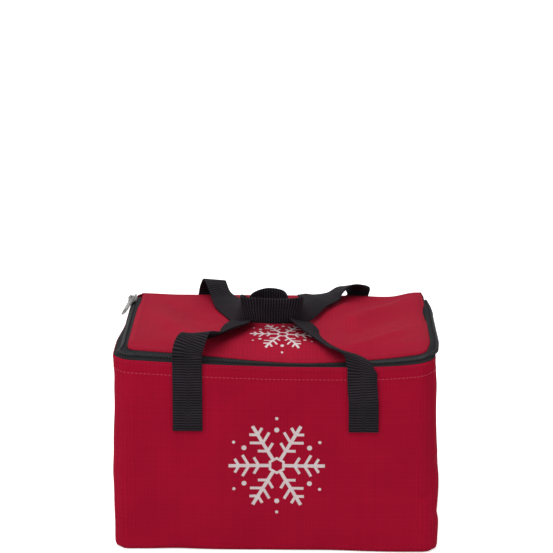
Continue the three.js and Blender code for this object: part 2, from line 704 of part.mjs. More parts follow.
function rearLeg(side, arch) {
  const end = (side * REAR_SPACING) / 2;
  const back = HALF_DEPTH + STRAP_MIDDLE;
  const shift = REAR_LOOP_SHIFT;
  const half = REAR_LOOP_HALF;
  const far = -REAR_LOOP_REACH;
  const lift = REAR_LOOP_LIFT;
  return [
    onRoute(end, back, HINGE_HEIGHT, [-side, 0], 0),
    onRoute(end, back - 0.5, STRAP_BEND - 1, [-side, 0], 0),
    onRoute(end - side, back - 3, STRAP_BEND + 0.45 * arch, [-side, 0], 2),
    onRoute(end - side * 3, back - 12, STRAP_BEND + 0.8 * arch, [-side, 0.2], 10),
    onRoute(end - side * 8, back - 25, STRAP_BEND + 0.75 * arch, [-side, 0.4], 22),
    overLid(side * (half + 25) + 0.3 * shift, far + 66, LOOP_CLEARANCE, [-side, 0.5], 45),
    overLid(side * (half + 16) + 0.6 * shift, far + 41, 0.45 * lift, [-side, 0.5], 65),
    overLid(side * (half + 8) + shift, far + 19, 0.9 * lift, [-side, 0.5], 82),
    overLid(side * half + shift, far + 6, lift, [-side, 0.8], 90),
    overLid(side * (half / 2) + shift, far + 1, lift, [-side, 2], 90),
  ];
}

// A strap along a route, with round noses where it starts and ends at its hinge line.
function ribbon(route) {
  const middles = new THREE.CatmullRomCurve3(route.map((point) => point.middle));
  const acrosses = new THREE.CatmullRomCurve3(route.map((point) => point.across));
  const count = STRAP_STEPS * (route.length - 1);
  const ring = (u, ahead, thickness) => {
    const along = middles.getTangent(u);
    const across = acrosses.getPoint(u);
    across.addScaledVector(along, -across.dot(along)).setLength(STRAP_WIDTH / 2);
    const normal = along.clone().cross(across).setLength(thickness / 2);
    const middle = middles.getPoint(u).addScaledVector(along, ahead);
    const corner = (a, b) =>
      middle.clone().addScaledVector(across, a).addScaledVector(normal, b).toArray();
    return [corner(-1, -1), corner(1, -1), corner(1, 1), corner(-1, 1)];
  };
  const nose = (u, sign) => [
    ring(u, -sign * NOSE, STRAP / 4),
    ring(u, -sign * NOSE * 0.7, STRAP * 0.72),
  ];
  const run = steps(0, 1, count).map((u) => ring(u, 0, STRAP));
  const flat = [
    [-STRAP_WIDTH, -STRAP],
    [STRAP_WIDTH, -STRAP],
    [STRAP_WIDTH, STRAP],
    [-STRAP_WIDTH, STRAP],
  ];
  return loft([...nose(0, 1), ...run, ...nose(1, -1).reverse()], flat);
}

function frontLoop() {
  const far = overLid(FRONT_LOOP_SHIFT, FRONT_LOOP_REACH, LOOP_CLEARANCE, [0, -1], 90);
  const right = frontLeg(1, RIGHT_ARCH, RIGHT_SWING).reverse();
  return ribbon([...frontLeg(-1, LEFT_ARCH, LEFT_SWING), far, ...right]);
}

function rearLoop() {
  const far = overLid(REAR_LOOP_SHIFT, -REAR_LOOP_REACH, REAR_LOOP_LIFT, [0, 1], 90);
  const right = rearLeg(1, REAR_RIGHT_ARCH).reverse();
  return ribbon([...rearLeg(-1, REAR_LEFT_ARCH), far, ...right]);
}

// The bag, put together
function add(group, name, geometry, material) {
  const mesh = new THREE.Mesh(geometry, material);
  mesh.name = name;
  group.add(mesh);
}

const bag = new THREE.Group();
const tub = new THREE.Group();
const lid = new THREE.Group();
const handles = new THREE.Group();
const zipSlider = onLeftZip();
bag.add(tub, lid, handles, zipSlider);

const backTop = HINGE_HEIGHT - SEAM_GAP / 2;
const foamStep = RIM - TAPE_TUCK - LAYER_GAP;
const foamWall = foamSection(FOAM_LAYER, FILL_TOP, foamStep);
const liningWall = wallSection(LINING_LAYER, FILL_TOP);
const shellWall = wallSection(SHELL_LAYER, RIM);
const backShell = [
  ...wallLine(0, RIM),
  [0, backTop],
  [SHELL, backTop],
  ...wallLine(SHELL, RIM).reverse(),
];

add(tub, "front_panel", sweep(frontStations(SHELL_LAYER), shellWall), RED);
add(tub, "left_panel", sweep(sideStations(-1, SHELL_LAYER), shellWall), RED);
add(tub, "right_panel", sweep(sideStations(1, SHELL_LAYER), shellWall), RED);
add(tub, "back_panel", sweep(backStations(), backShell), RED);
add(tub, "base_panel", floor(SHELL_LAYER), RED);
add(tub, "front_foam", sweep(frontStations(FOAM_LAYER), foamWall), FOAM_WHITE);
add(tub, "left_foam", sweep(sideStations(-1, FOAM_LAYER), foamWall), FOAM_WHITE);
add(tub, "right_foam", sweep(sideStations(1, FOAM_LAYER), foamWall), FOAM_WHITE);
const besideTape = UNDER_TAPE - FOAM_LAYER.outer + SEAM_GAP;
const backFoamWall = wallSection(FOAM_LAYER, FILL_TOP);
add(tub, "back_foam", sweep(backStations(besideTape), backFoamWall), FOAM_WHITE);
add(tub, "base_foam", floor(FOAM_LAYER), FOAM_WHITE);
add(tub, "front_lining", sweep(frontStations(LINING_LAYER), liningWall), FOIL);
add(tub, "left_lining", sweep(sideStations(-1, LINING_LAYER), liningWall), FOIL);
add(tub, "right_lining", sweep(sideStations(1, LINING_LAYER), liningWall), FOIL);
add(tub, "back_lining", sweep(backStations(), liningWall), FOIL);
add(tub, "base_lining", floor(LINING_LAYER), FOIL);
add(tub, "rim_binding", rimBinding(), BLACK);
add(tub, "zip_tape_lower", lowerTape(), BLACK);
add(tub, "zip_teeth_lower", comb(-1, 0), RESIN);
for (const [name, side] of [
  ["left", -1],
  ["right", 1],
]) {
  add(tub, "front_handle_end_" + name, sewnEnd(frontFace, (side * FRONT_SPACING) / 2), BLACK);
  add(tub, "rear_handle_end_" + name, sewnEnd(backFace, (side * REAR_SPACING) / 2), BLACK);
}

add(lid, "lid_panel", lidShell(), RED);
const foamBottom = LID_FOAM_TOP - FOAM;
add(lid, "lid_foam", lidPlate(LID_FILL_INSET, LID_FILL_REAR, LID_FOAM_TOP, foamBottom), FOAM_WHITE);
const liningBottom = LID_LINING_TOP - LINING;
add(lid, "lid_lining", lidPlate(LID_FILL_INSET, LID_FILL_REAR, LID_LINING_TOP, liningBottom), FOIL);
add(lid, "lid_binding", lidBinding(), BLACK);
add(lid, "zip_tape_upper", upperTape(), BLACK);
add(lid, "zip_teeth_upper", comb(1, PITCH / 2), RESIN);

add(handles, "front_handle_loop", frontLoop(), BLACK);
add(handles, "rear_handle_loop", rearLoop(), BLACK);
add(zipSlider, "zip_slider", slider(), ZINC);
add(zipSlider, "zip_pull", pull(), ZINC);

export default bag;
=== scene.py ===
# %% [markdown]
# # An insulated lunch bag
# The bag is sewn from woven polyester over foam, with a foil lining, a zip round three sides of
# the lid and two webbing handles. The solids of the part are loaded first. Each soft solid is
# then replaced by a cloth piece that is modelled in its place. Most pieces move with the same
# body; the lid's shell, the front strap and the rear loop are not attached to one.

# %% The frame
import math

import bmesh
import bpy
from mathutils import Matrix, Vector, noise


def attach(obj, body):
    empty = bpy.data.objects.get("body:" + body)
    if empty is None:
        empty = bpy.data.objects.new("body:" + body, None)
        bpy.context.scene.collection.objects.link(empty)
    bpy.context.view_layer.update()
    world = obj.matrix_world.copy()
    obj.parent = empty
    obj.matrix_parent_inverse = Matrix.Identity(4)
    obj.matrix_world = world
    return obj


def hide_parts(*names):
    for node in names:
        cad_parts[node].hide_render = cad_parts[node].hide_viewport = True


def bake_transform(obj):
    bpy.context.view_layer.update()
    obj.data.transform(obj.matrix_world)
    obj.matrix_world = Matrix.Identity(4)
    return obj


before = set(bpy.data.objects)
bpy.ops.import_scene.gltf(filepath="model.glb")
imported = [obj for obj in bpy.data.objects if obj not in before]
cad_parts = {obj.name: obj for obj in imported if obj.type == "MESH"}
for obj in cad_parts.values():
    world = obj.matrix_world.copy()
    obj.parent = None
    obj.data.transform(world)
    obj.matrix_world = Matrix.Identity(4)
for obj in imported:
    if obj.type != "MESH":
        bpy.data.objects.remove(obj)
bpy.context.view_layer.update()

# %% [markdown]
# ## Sizes
# The sizes are those of the solids, in millimetres, because a maker thinks in them. A point is
# turned into metres only when a vertex is placed. Every piece below is laid out from the same
# few lengths, so the layers of the wall stay in step.

# %% Sizes in millimetres
MM = 0.001
HALF_WIDTH = 136
HALF_DEPTH = 77
LID_HEIGHT = 182
SIDE_BELLY = 3.5
FRONT_BELLY = 3
CORNER_RADIUS = 16
REAR_RADIUS = 6
FOOT_RADIUS = 4
FOLD_RADIUS = 5
ZIP_WIDTH = 12
ZIP_MIDDLE = ZIP_WIDTH / 2
TAPE_DEPTH = 1.4
SLANT = math.sqrt(0.5)
LID_INSET = TAPE_DEPTH + ZIP_WIDTH * SLANT
RIM = LID_HEIGHT - LID_INSET
HINGE_HEIGHT = RIM + ZIP_MIDDLE * SLANT
STRAP_WIDTH = 25
STRAP = 1.6
STRAP_FOOT = 110.3
print(f"rim {RIM:.1f} mm, hinge line {HINGE_HEIGHT:.1f} mm")

# %% [markdown]
# ## How the cloth hangs
# Empty bags sag. The front edge of this one dips in the middle, more to the right than to the
# left, and the lid follows it. The walls lean out a little at the foot, and foam behind the
# cloth leaves soft, shallow waves. These are plain functions of place, so the handles, the
# stitches and the zip can ask for the very surface that they lie on.


# %% Sag, belly and waves
def share(value):
    return min(max(value, 0), 1)


def smooth(value, low, high):
    t = share((value - low) / (high - low))
    return t * t * (3 - 2 * t)


def hump(value, middle, width):
    """One at the middle, falling away on both sides."""
    return math.exp(-(((value - middle) / width) ** 2))


def wave(x, y, z, size, seed):
    return noise.noise(Vector((x / size + seed, y / size - seed, z / size + 2 * seed)))


FRONT_SAG = 6
SAG_FOOT = 60
LOWEST = 25
EDGE_DROP = 2.6
MIDDLE_DROP = 6.2


def edge_dip(x):
    if x < LOWEST:
        return 1 - min(1, (LOWEST - x) / (HALF_WIDTH + LOWEST - 2)) ** 1.8
    return 1 - min(1, (x - LOWEST) / (HALF_WIDTH - LOWEST)) ** 3.4


def lid_drop(x, y):
    """The lid sinks further than the rim, most in the middle, where the zip lies flat."""
    deep = EDGE_DROP + MIDDLE_DROP * hump(x, 20, 75)
    return deep * smooth(-y, 44 + 7 * smooth(-x, 108, 120), HALF_DEPTH - 8)


def settled(x, y, z):
    """The right wall stands in a little, and the left of the lid is drawn in."""
    at_lid = smooth(z, RIM + 2, LID_HEIGHT - 2)
    pinch = 4.2 * smooth(y, 0, 62) * smooth(z, 90, RIM)
    spread = 2 - 2 * smooth(y, 50, 72) + 1.6 * smooth(-y, -40, 45) + 1.6 * smooth(-y, 50, 66)
    right = smooth(x, 96, HALF_WIDTH) * (spread * at_lid - (2.7 + pinch) * (1 - at_lid))
    on_top = smooth(z, LID_HEIGHT - 1.9, LID_HEIGHT - 0.4)
    left = 2.4 * smooth(-x, 80, 124) * on_top * smooth(y, -70, -30)
    return x + right + left, y, z


def sag(x, y, z):
    forward = share((HALF_DEPTH - y) / (2 * HALF_DEPTH))
    return FRONT_SAG * edge_dip(x) * forward * smooth(z, SAG_FOOT, RIM)


def belly(z):
    return max(0, 1 - (z / RIM) ** 2)


def ridge_line(x, y, start, end, width):
    """One at a fold that runs from start to end, nothing beyond its width."""
    run = Vector(end) - Vector(start)
    off = Vector((x, y)) - Vector(start)
    along = share(off.dot(run) / run.length_squared)
    return hump((off - along * run).length, 0, width)


def rim_push(nx, y):
    """How far the top edge of the left wall leans: in at the rear, out towards the front."""
    return max(-nx, 0) * (3.7 * smooth(-y, -20, 35) - 1.1)


def wall_bulge(x, y, nx, ny, z):
    held = smooth(z, 0, 28) * (1 - smooth(z, RIM - 34, RIM - 8))
    soft = 1.5 * wave(x, y, z, 62, 3.1) + 0.6 * wave(x, y, z, 24, 7.7)
    pillow = 1.1 * math.sin(math.pi * share(z / RIM)) * (1 - smooth(nx, 0, 1))
    seam = -0.9 * hump(abs(nx), abs(ny), 0.12) if y < 0 else 0
    corner = 3.2 * (2 * nx * ny) ** 2 * (1 - smooth(z, 15, 110))
    toe = 2.5 * max(-ny, 0) * smooth(x, 40, 110) * (1 - smooth(z, 8, 60))
    tuck = -1.0 * smooth(z, 156, 160) if ny > 0.7 else 0
    lean = rim_push(nx, y) * smooth(z, RIM - 30, RIM)
    crease = 1.7 * max(nx, 0) * hump(z, 68, 26) * smooth(-y, -20, 40)
    if y < -40:
        crease -= 1.3 * ridge_line(x, z, (135, 80), (127, 52), 3.2)
        crease -= 1.3 * ridge_line(x, z, (127, 52), (134, 32), 3.2)
    return held * (soft + pillow) + seam + corner + toe + tuck + lean + crease


def foot_lift(x, y):
    gap = 1.7 * hump(x, -84, 20) * smooth(-y, 30, 70)
    return max(0, 1.1 * wave(x, y, 0, 46, 1.3) + 0.35) + gap


print(f"front edge dips {sag(0, -HALF_DEPTH, RIM):.1f} mm in the middle")

# %% [markdown]
# ## Walking round the bag
# All the upright layers follow one line on the floor plan: straight walls and four rounded
# corners. A walk along that line gives a place and the way out of the bag. With it, a flat grid
# can be wrapped into a wall, which keeps an even mesh and gives every piece its own flat map.


# %% The plan
def corner_at(sx, sy, turn, inset, radius):
    round_to = max(radius - inset, 0.3)
    angle = turn * math.pi / 2
    nx, ny = sx * math.cos(angle), sy * math.sin(angle)
    x = sx * (HALF_WIDTH - inset - round_to) + nx * round_to
    y = sy * (HALF_DEPTH - inset - round_to) + ny * round_to
    return x, y, nx, ny


def straight(start, end):
    def at(t, inset):
        x0, y0, nx, ny = start(inset)
        x1, y1, _, _ = end(inset)
        return x0 + (x1 - x0) * t, y0 + (y1 - y0) * t, nx, ny

    return at


def bend(sx, sy, radius, first, last):
    return lambda t, inset: corner_at(sx, sy, first + (last - first) * t, inset, radius)


def post(sx, sy, turn, radius):
    return lambda inset: corner_at(sx, sy, turn, inset, radius)


def walls_from(rear):
    """The walls in order, from the rear left post round the front to the rear right one."""
    side = 2 * HALF_DEPTH - CORNER_RADIUS - rear
    front = 2 * (HALF_WIDTH - CORNER_RADIUS)
    turn = CORNER_RADIUS * math.pi / 2
    return [
        (side, straight(post(-1, 1, 0, rear), post(-1, -1, 0, CORNER_RADIUS))),
        (turn, bend(-1, -1, CORNER_RADIUS, 0, 1)),
        (front, straight(post(-1, -1, 1, CORNER_RADIUS), post(1, -1, 1, CORNER_RADIUS))),
        (turn, bend(1, -1, CORNER_RADIUS, 1, 0)),
        (side, straight(post(1, -1, 0, CORNER_RADIUS), post(1, 1, 0, rear))),
    ]


def walk(walls, distance, inset):
    for length, at in walls:
        if distance <= length:
            break
        distance -= length
    return at(min(distance / length, 1), inset)


def length_of(walls):
    return sum(length for length, _ in walls)


def middle_back(inset):
    return 0, HALF_DEPTH - inset, 0, 1


ZIP_REAR_RADIUS = 2
rear_turn = REAR_RADIUS * math.pi / 2
ROUND_BAG = [
    (HALF_WIDTH - REAR_RADIUS, straight(middle_back, post(-1, 1, 1, REAR_RADIUS))),
    (rear_turn, bend(-1, 1, REAR_RADIUS, 1, 0)),
    *walls_from(REAR_RADIUS),
    (rear_turn, bend(1, 1, REAR_RADIUS, 0, 1)),
    (HALF_WIDTH - REAR_RADIUS, straight(post(1, 1, 1, REAR_RADIUS), middle_back)),
]
ALONG_ZIP = walls_from(ZIP_REAR_RADIUS)
print(f"round the bag {length_of(ROUND_BAG):.0f} mm, along the zip {length_of(ALONG_ZIP):.0f} mm")


# %% [markdown]
# ## Cloth from a grid
# A cut piece of cloth is flat, so each one starts as a flat grid. The grid is first measured for
# its map, in metres of cloth, and then every vertex is moved to its place on the bag. A closed
# band is the same grid with its two long edges welded. A modifier gives it thickness, because
# the woven side is the one that has to be exact.


# %% Grid helpers
def finished(name, bm, finish, body=None, replaces=()):
    bm.normal_update()
    mesh = bpy.data.meshes.new(name)
    bm.to_mesh(mesh)
    bm.free()
    mesh.shade_smooth()
    piece = bpy.data.objects.new(name, mesh)
    bpy.context.scene.collection.objects.link(piece)
    if body:
        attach(piece, body)
    if replaces:
        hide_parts(*replaces)
    mesh.materials.append(finish)
    print(f"{name}: {len(mesh.polygons)} faces")
    return piece


def wrapped_grid(columns, rows, place, cloth, weld=False):
    """place(u, v) gives a point in mm; cloth is the flat (length, width) in mm."""
    bm = bmesh.new()
    bmesh.ops.create_grid(bm, x_segments=columns, y_segments=rows, size=0.5)
    chart = bm.loops.layers.uv.new("cloth")
    for face in bm.faces:
        for loop in face.loops:
            u, v = loop.vert.co.x + 0.5, loop.vert.co.y + 0.5
            loop[chart].uv = (u * cloth[0] * MM, v * cloth[1] * MM)
    for vert in bm.verts:
        vert.co = Vector(settled(*place(vert.co.x + 0.5, vert.co.y + 0.5))) * MM
    if weld:
        bmesh.ops.remove_doubles(bm, verts=bm.verts, dist=1e-6)
    return bm


def posed(centre, ahead, upward, outward, size):
    """The matrix that sets a small piece, from its middle, directions and size in mm."""
    turn = Matrix((ahead, upward, outward)).transposed().to_4x4()
    scale = Matrix.Diagonal((*(side * MM for side in size), 1))
    return Matrix.Translation(Vector(settled(*centre)) * MM) @ turn @ scale


def thickened(piece, thickness):
    modifier = piece.modifiers.new("thickness", "SOLIDIFY")
    modifier.thickness = thickness * MM
    modifier.offset = -1
    modifier.use_even_offset = True


# %% [markdown]
# ## Weave as a node group
# Cloth, tape and binding are all plain weave, only at another scale. One node group makes the
# over and under of two sets of threads from the flat map, and gives a height and a tint that
# differs from thread to thread. The finishes then differ in pitch, colour and strength alone.
# A second group draws reed marks, the faint even lines that a loom leaves in plain cloth.


# %% Node helpers
def new_node(tree, kind, **settings):
    made = tree.nodes.new(kind)
    for key, value in settings.items():
        setattr(made, key, value)
    return made


def feed(tree, socket, value):
    if isinstance(value, bpy.types.NodeSocket):
        tree.links.new(value, socket)
    else:
        socket.default_value = value


def sum_of(tree, operation, *values):
    made = new_node(tree, "ShaderNodeMath", operation=operation)
    for socket, value in zip(made.inputs, values):
        feed(tree, socket, value)
    return made.outputs[0]


def times(tree, first, second):
    return sum_of(tree, "MULTIPLY", first, second)


def scaled(tree, value, by, plus):
    return sum_of(tree, "MULTIPLY_ADD", value, by, plus)


def parts_of(tree, vector):
    apart = new_node(tree, "ShaderNodeSeparateXYZ")
    tree.links.new(vector, apart.inputs[0])
    return apart.outputs


def humps(tree, value):
    """A row of rounded humps, one to each whole step of the value."""
    turns = times(tree, value, math.pi)
    return sum_of(tree, "ABSOLUTE", sum_of(tree, "SINE", turns))


def mixed(tree, factor, first, second, colours=True):
    made = new_node(tree, "ShaderNodeMix", data_type="RGBA" if colours else "FLOAT")
    sockets = (0, 6, 7) if colours else (0, 2, 3)
    for socket, value in zip(sockets, (factor, first, second)):
        feed(tree, made.inputs[socket], value)
    return made.outputs[2 if colours else 0]


def noise_of(tree, vector, scale, detail):
    made = new_node(tree, "ShaderNodeTexNoise")
    tree.links.new(vector, made.inputs["Vector"])
    made.inputs["Scale"].default_value = scale
    made.inputs["Detail"].default_value = detail
    return made.outputs["Fac"]


def new_group(name, inputs, outputs):
    group = bpy.data.node_groups.new(name, "ShaderNodeTree")
    for label, kind in inputs.items():
        group.interface.new_socket(label, in_out="INPUT", socket_type=kind)
    for label in outputs:
        group.interface.new_socket(label, in_out="OUTPUT", socket_type="NodeSocketFloat")
    source = new_node(group, "NodeGroupInput").outputs
    target = new_node(group, "NodeGroupOutput").inputs
    return group, source, target


def placed(tree, group, **values):
    made = new_node(tree, "ShaderNodeGroup", node_tree=group)
    for key, value in values.items():
        feed(tree, made.inputs[key], value)
    return made.outputs


# %% The weave
FLOAT = "NodeSocketFloat"
VECTOR = "NodeSocketVector"
plain_weave, given, wanted = new_group(
    "plain weave", {"Vector": VECTOR, "Pitch": FLOAT}, ["Height", "Thread"]
)
knit = lambda operation, *values: sum_of(plain_weave, operation, *values)
apart = parts_of(plain_weave, given["Vector"])
along, across = (knit("DIVIDE", apart[axis], given["Pitch"]) for axis in (0, 1))
whole = lambda value: knit("FLOOR", value)
soften = lambda value: knit("MULTIPLY_ADD", value, 0.4, 0.6)
both = knit("ADD", whole(along), whole(across))
over = knit("ABSOLUTE", knit("MODULO", both, 2.0))
warp = knit("MULTIPLY", humps(plain_weave, along), soften(humps(plain_weave, across)))
weft = knit("MULTIPLY", humps(plain_weave, across), soften(humps(plain_weave, along)))


def of_upper(of_weft, of_warp):
    """The value of whichever thread lies on top."""
    return mixed(plain_weave, over, of_weft, of_warp, colours=False)


def thread_tint(value, seed):
    shade = new_node(plain_weave, "ShaderNodeTexWhiteNoise", noise_dimensions="1D")
    plain_weave.links.new(knit("ADD", whole(value), seed), shade.inputs["W"])
    return shade.outputs["Value"]


tint = of_upper(thread_tint(across, 7.0), thread_tint(along, 31.0))
plain_weave.links.new(of_upper(weft, warp), wanted["Height"])
plain_weave.links.new(tint, wanted["Thread"])
print("plain weave:", len(plain_weave.nodes), "nodes")

# %% Reed marks
reed_marks, given, wanted = new_group("reed marks", {"Vector": VECTOR}, ["Mark"])
apart = parts_of(reed_marks, given["Vector"])


def line_marks(axis, spacing, wander):
    """Lines at an even spacing, in mm, that fade in and out; about -1 to 1."""
    turns = times(reed_marks, apart[axis], 2 * math.pi / (spacing * MM))
    strength = noise_of(reed_marks, given["Vector"], wander, 1.0)
    return times(reed_marks, sum_of(reed_marks, "SINE", turns), strength)


bars = times(reed_marks, line_marks(1, spacing=4.1, wander=160.0), 0.4)
lines = line_marks(0, spacing=2.75, wander=90.0)
reed_marks.links.new(sum_of(reed_marks, "ADD", lines, bars), wanted["Mark"])
print("reed marks:", len(reed_marks.nodes), "nodes")


# %% [markdown]
# ## The print
# A pale print sits on the front and a smaller one on the lid, both a plain frost star: six arms
# with side twigs, and dots between the arms. Folding the plane into one slice of sixty degrees
# means that only one arm has to be drawn. The group gives a mask, and the cloth's finish mixes
# its ink in with it.

# %% The frost star
frost_star, given, wanted = new_group(
    "frost star", {"Right": FLOAT, "Up": FLOAT, "Radius": FLOAT}, ["Mask"]
)
star = lambda operation, *values: sum_of(frost_star, operation, *values)
right = star("DIVIDE", given["Right"], given["Radius"])
up = star("DIVIDE", given["Up"], given["Radius"])
reach = star("SQRT", star("ADD", star("MULTIPLY", right, right), star("MULTIPLY", up, up)))
angle = star("ARCTAN2", up, right)
SLICE = math.pi / 3
COS_30, COS_60 = 0.866, 0.5
ARM_END, ARM_HALF = 0.97, 0.035
RING_OUTER, RING_INNER = 0.16, 0.11
TWIG_HALF = 0.028
folded = star("PINGPONG", star("ADD", angle, 2 * math.pi), SLICE / 2)
out = star("MULTIPLY", reach, star("COSINE", folded))
aside = star("MULTIPLY", reach, star("SINE", folded))
inside = lambda value, limit: star("LESS_THAN", value, limit)
beyond = lambda value, limit: star("GREATER_THAN", value, limit)
between_two = lambda value, low, high: star("MULTIPLY", inside(value, high), beyond(value, low))
arm = star("MULTIPLY", inside(aside, ARM_HALF), between_two(out, RING_OUTER, ARM_END))


def twig(root, length):
    step = star("SUBTRACT", out, root)
    along_twig = star("ADD", star("MULTIPLY", step, COS_60), star("MULTIPLY", aside, COS_30))
    across = star("SUBTRACT", star("MULTIPLY", step, COS_30), star("MULTIPLY", aside, COS_60))
    off = star("ABSOLUTE", across)
    return star("MULTIPLY", inside(off, TWIG_HALF), between_two(along_twig, -0.03, length))


def dot(place_out, place_aside, size):
    x = star("SUBTRACT", out, place_out)
    y = star("SUBTRACT", aside, place_aside)
    square = star("ADD", star("MULTIPLY", x, x), star("MULTIPLY", y, y))
    return inside(square, size * size)


mask = arm
for part in [
    twig(0.36, 0.2),
    twig(0.56, 0.26),
    twig(0.76, 0.17),
    dot(0.66, 0.381, 0.05),
    dot(COS_30, COS_60, 0.032),
    between_two(out, RING_INNER, RING_OUTER),
]:
    mask = star("MAXIMUM", mask, part)
frost_star.links.new(mask, wanted["Mask"])
print("frost star:", len(frost_star.nodes), "nodes")


# %% [markdown]
# ## Finishes
# The shell is a red polyester weave with a dull sheen. Its colour drifts a little over the panels
# and from thread to thread, and the reed marks show as faint lines. Shade is painted into the
# colour where the weave dips between threads and in the grooves of the webbing. Black tape and
# webbing are never quite black. Foil, foam, thread, resin and cast zinc each get their own finish.


# %% Making a finish
def new_finish(name, roughness, metallic=0.0, gloss=0.5):
    finish = bpy.data.materials.new(name)
    finish.use_nodes = True
    tree = finish.node_tree
    shader = tree.nodes["Principled BSDF"]
    settings = {"Roughness": roughness, "Metallic": metallic, "Specular IOR Level": gloss}
    for label, value in settings.items():
        shader.inputs[label].default_value = value
    return finish, tree, shader


def coloured(tree, shader, factor, dark, light):
    """Base colour between two tones; gives the socket that carries it."""
    colour = mixed(tree, factor, (*dark, 1), (*light, 1))
    tree.links.new(colour, shader.inputs["Base Color"])
    return colour


def raise_surface(tree, shader, height, distance):
    bump = new_node(tree, "ShaderNodeBump")
    bump.inputs["Distance"].default_value = distance * MM
    tree.links.new(height, bump.inputs["Height"])
    tree.links.new(bump.outputs[0], shader.inputs["Normal"])


def map_of(tree):
    return new_node(tree, "ShaderNodeUVMap", uv_map="cloth").outputs[0]


def object_place(tree):
    return new_node(tree, "ShaderNodeTexCoord").outputs["Object"]


def speckle(tree, scale, detail=2.0):
    return noise_of(tree, object_place(tree), scale, detail)


def woven_finish(name, dark, light, pitch, depth, gloss=0.06, reed=0.0):
    """Pitch and depth of the threads are in mm; reed is the strength of the loom's marks."""
    finish, tree, shader = new_finish(name, 0.8, gloss=gloss)
    flat = map_of(tree)
    weave = placed(tree, plain_weave, Vector=flat, Pitch=pitch * MM)
    drift = speckle(tree, 22.0, 3.0)
    ground = scaled(tree, drift, 0.24, 0.42)
    thread = scaled(tree, weave["Thread"], 0.1, ground)
    # Painted shade: the colour is darker where the weave dips between its threads.
    raised = scaled(tree, weave["Height"], 0.45, 0.55)
    lit = times(tree, thread, raised)
    if reed:
        marks = placed(tree, reed_marks, Vector=flat)["Mark"]
        lit = times(tree, lit, scaled(tree, marks, reed, 1.0))
    colour = coloured(tree, shader, lit, dark, light)
    raise_surface(tree, shader, weave["Height"], depth)
    return finish, tree, shader, colour


# %% The cloths and tapes
RED_DARK = (0.13, 0.001, 0.009)
RED_LIGHT = (0.48, 0.007, 0.036)
INK = (0.62, 0.57, 0.58)


def printed_cloth(name, radius, centre, upright, gloss):
    """Red cloth that carries the frost star, upright on a wall or flat on the lid."""
    finish, tree, shader, colour = woven_finish(
        name, RED_DARK, RED_LIGHT, pitch=0.9, depth=0.2, gloss=gloss, reed=0.17
    )
    spot = parts_of(tree, object_place(tree))
    right = sum_of(tree, "SUBTRACT", spot[0], centre[0] * MM)
    up = sum_of(tree, "SUBTRACT", spot[2 if upright else 1], centre[1] * MM)
    mask = placed(tree, frost_star, Right=right, Up=up, Radius=radius * MM)["Mask"]
    if upright:
        ahead = sum_of(tree, "LESS_THAN", spot[1], 0.0)
        mask = times(tree, mask, ahead)
    worn = speckle(tree, 900.0)
    cover = times(tree, mask, scaled(tree, worn, 0.5, 0.62))
    tree.links.new(mixed(tree, cover, colour, (*INK, 1)), shader.inputs["Base Color"])
    return finish


front_cloth = printed_cloth("red cloth with front print", 42, (0, 79), True, 0.03)
lid_cloth = printed_cloth("red cloth with lid print", 29, (4, -28), False, 0.12)
zip_tape_black, *_ = woven_finish(
    "black zip tape", (0.006, 0.006, 0.007), (0.03, 0.03, 0.033), pitch=0.5, depth=0.1
)
binding_black, *_ = woven_finish(
    "black binding", (0.008, 0.008, 0.009), (0.04, 0.04, 0.044), pitch=0.7, depth=0.15
)
woven = [m.name for m in bpy.data.materials if m.name.startswith(("red", "black"))]
print("woven finishes:", woven)

# %% The webbing
RIB = 2.25
COLUMN = 1.4
MIDDLE_BAND = 1.6
webbing, tree, shader = new_finish("black webbing", 0.75, gloss=0.05)
flat = parts_of(tree, map_of(tree))
aside = sum_of(tree, "SUBTRACT", flat[1], STRAP_WIDTH / 2 * MM)
edge = sum_of(tree, "ABSOLUTE", aside)
in_band = sum_of(tree, "LESS_THAN", edge, MIDDLE_BAND * MM)
lean = times(tree, times(tree, edge, in_band), 0.7)
rib = sum_of(tree, "DIVIDE", sum_of(tree, "ADD", flat[0], lean), RIB * MM)
column = sum_of(tree, "DIVIDE", flat[1], COLUMN * MM)
columns = scaled(tree, humps(tree, column), 0.5, 0.5)
height = times(tree, humps(tree, rib), columns)
fuzz = speckle(tree, 60.0, 3.0)
worn = scaled(tree, fuzz, 0.8, 0.4)
# Painted shade: the colour darkens in the grooves between the ribs and columns, squared to deepen
# them; the fuzz adds a random tone.
lit = times(tree, sum_of(tree, "POWER", height, 2.0), worn)
coloured(tree, shader, lit, (0.001, 0.001, 0.0013), (0.046, 0.037, 0.047))
raise_surface(tree, shader, height, 0.3)
print("webbing:", len(tree.nodes), "nodes")

# %% Foil, foam, thread, resin and zinc
foil, tree, shader = new_finish("silver foil lining", 0.3, 0.85)
creases = new_node(tree, "ShaderNodeTexVoronoi", feature="DISTANCE_TO_EDGE")
tree.links.new(object_place(tree), creases.inputs["Vector"])
creases.inputs["Scale"].default_value = 120.0
fold = sum_of(tree, "MINIMUM", creases.outputs["Distance"], 0.25)
clouds = speckle(tree, 70.0, 3.0)
coloured(tree, shader, clouds, (0.5, 0.51, 0.53), (0.8, 0.81, 0.83))
raise_surface(tree, shader, fold, 1.2)

foam, tree, shader = new_finish("white foam", 0.95)
cells = speckle(tree, 1500.0)
coloured(tree, shader, cells, (0.66, 0.65, 0.6), (0.86, 0.85, 0.82))
raise_surface(tree, shader, cells, 0.2)


def thread_finish(name, dark, light):
    finish, tree, shader = new_finish(name, 0.7, gloss=0.12)
    twist = speckle(tree, 1800.0)
    coloured(tree, shader, twist, dark, light)
    raise_surface(tree, shader, twist, 0.1)
    return finish


red_thread = thread_finish("red thread", (0.32, 0.024, 0.05), (0.55, 0.09, 0.12))
dark_red_thread = thread_finish("dark red thread", (0.18, 0.008, 0.02), (0.34, 0.02, 0.04))
black_thread = thread_finish("black thread", (0.004, 0.004, 0.005), (0.016, 0.016, 0.018))

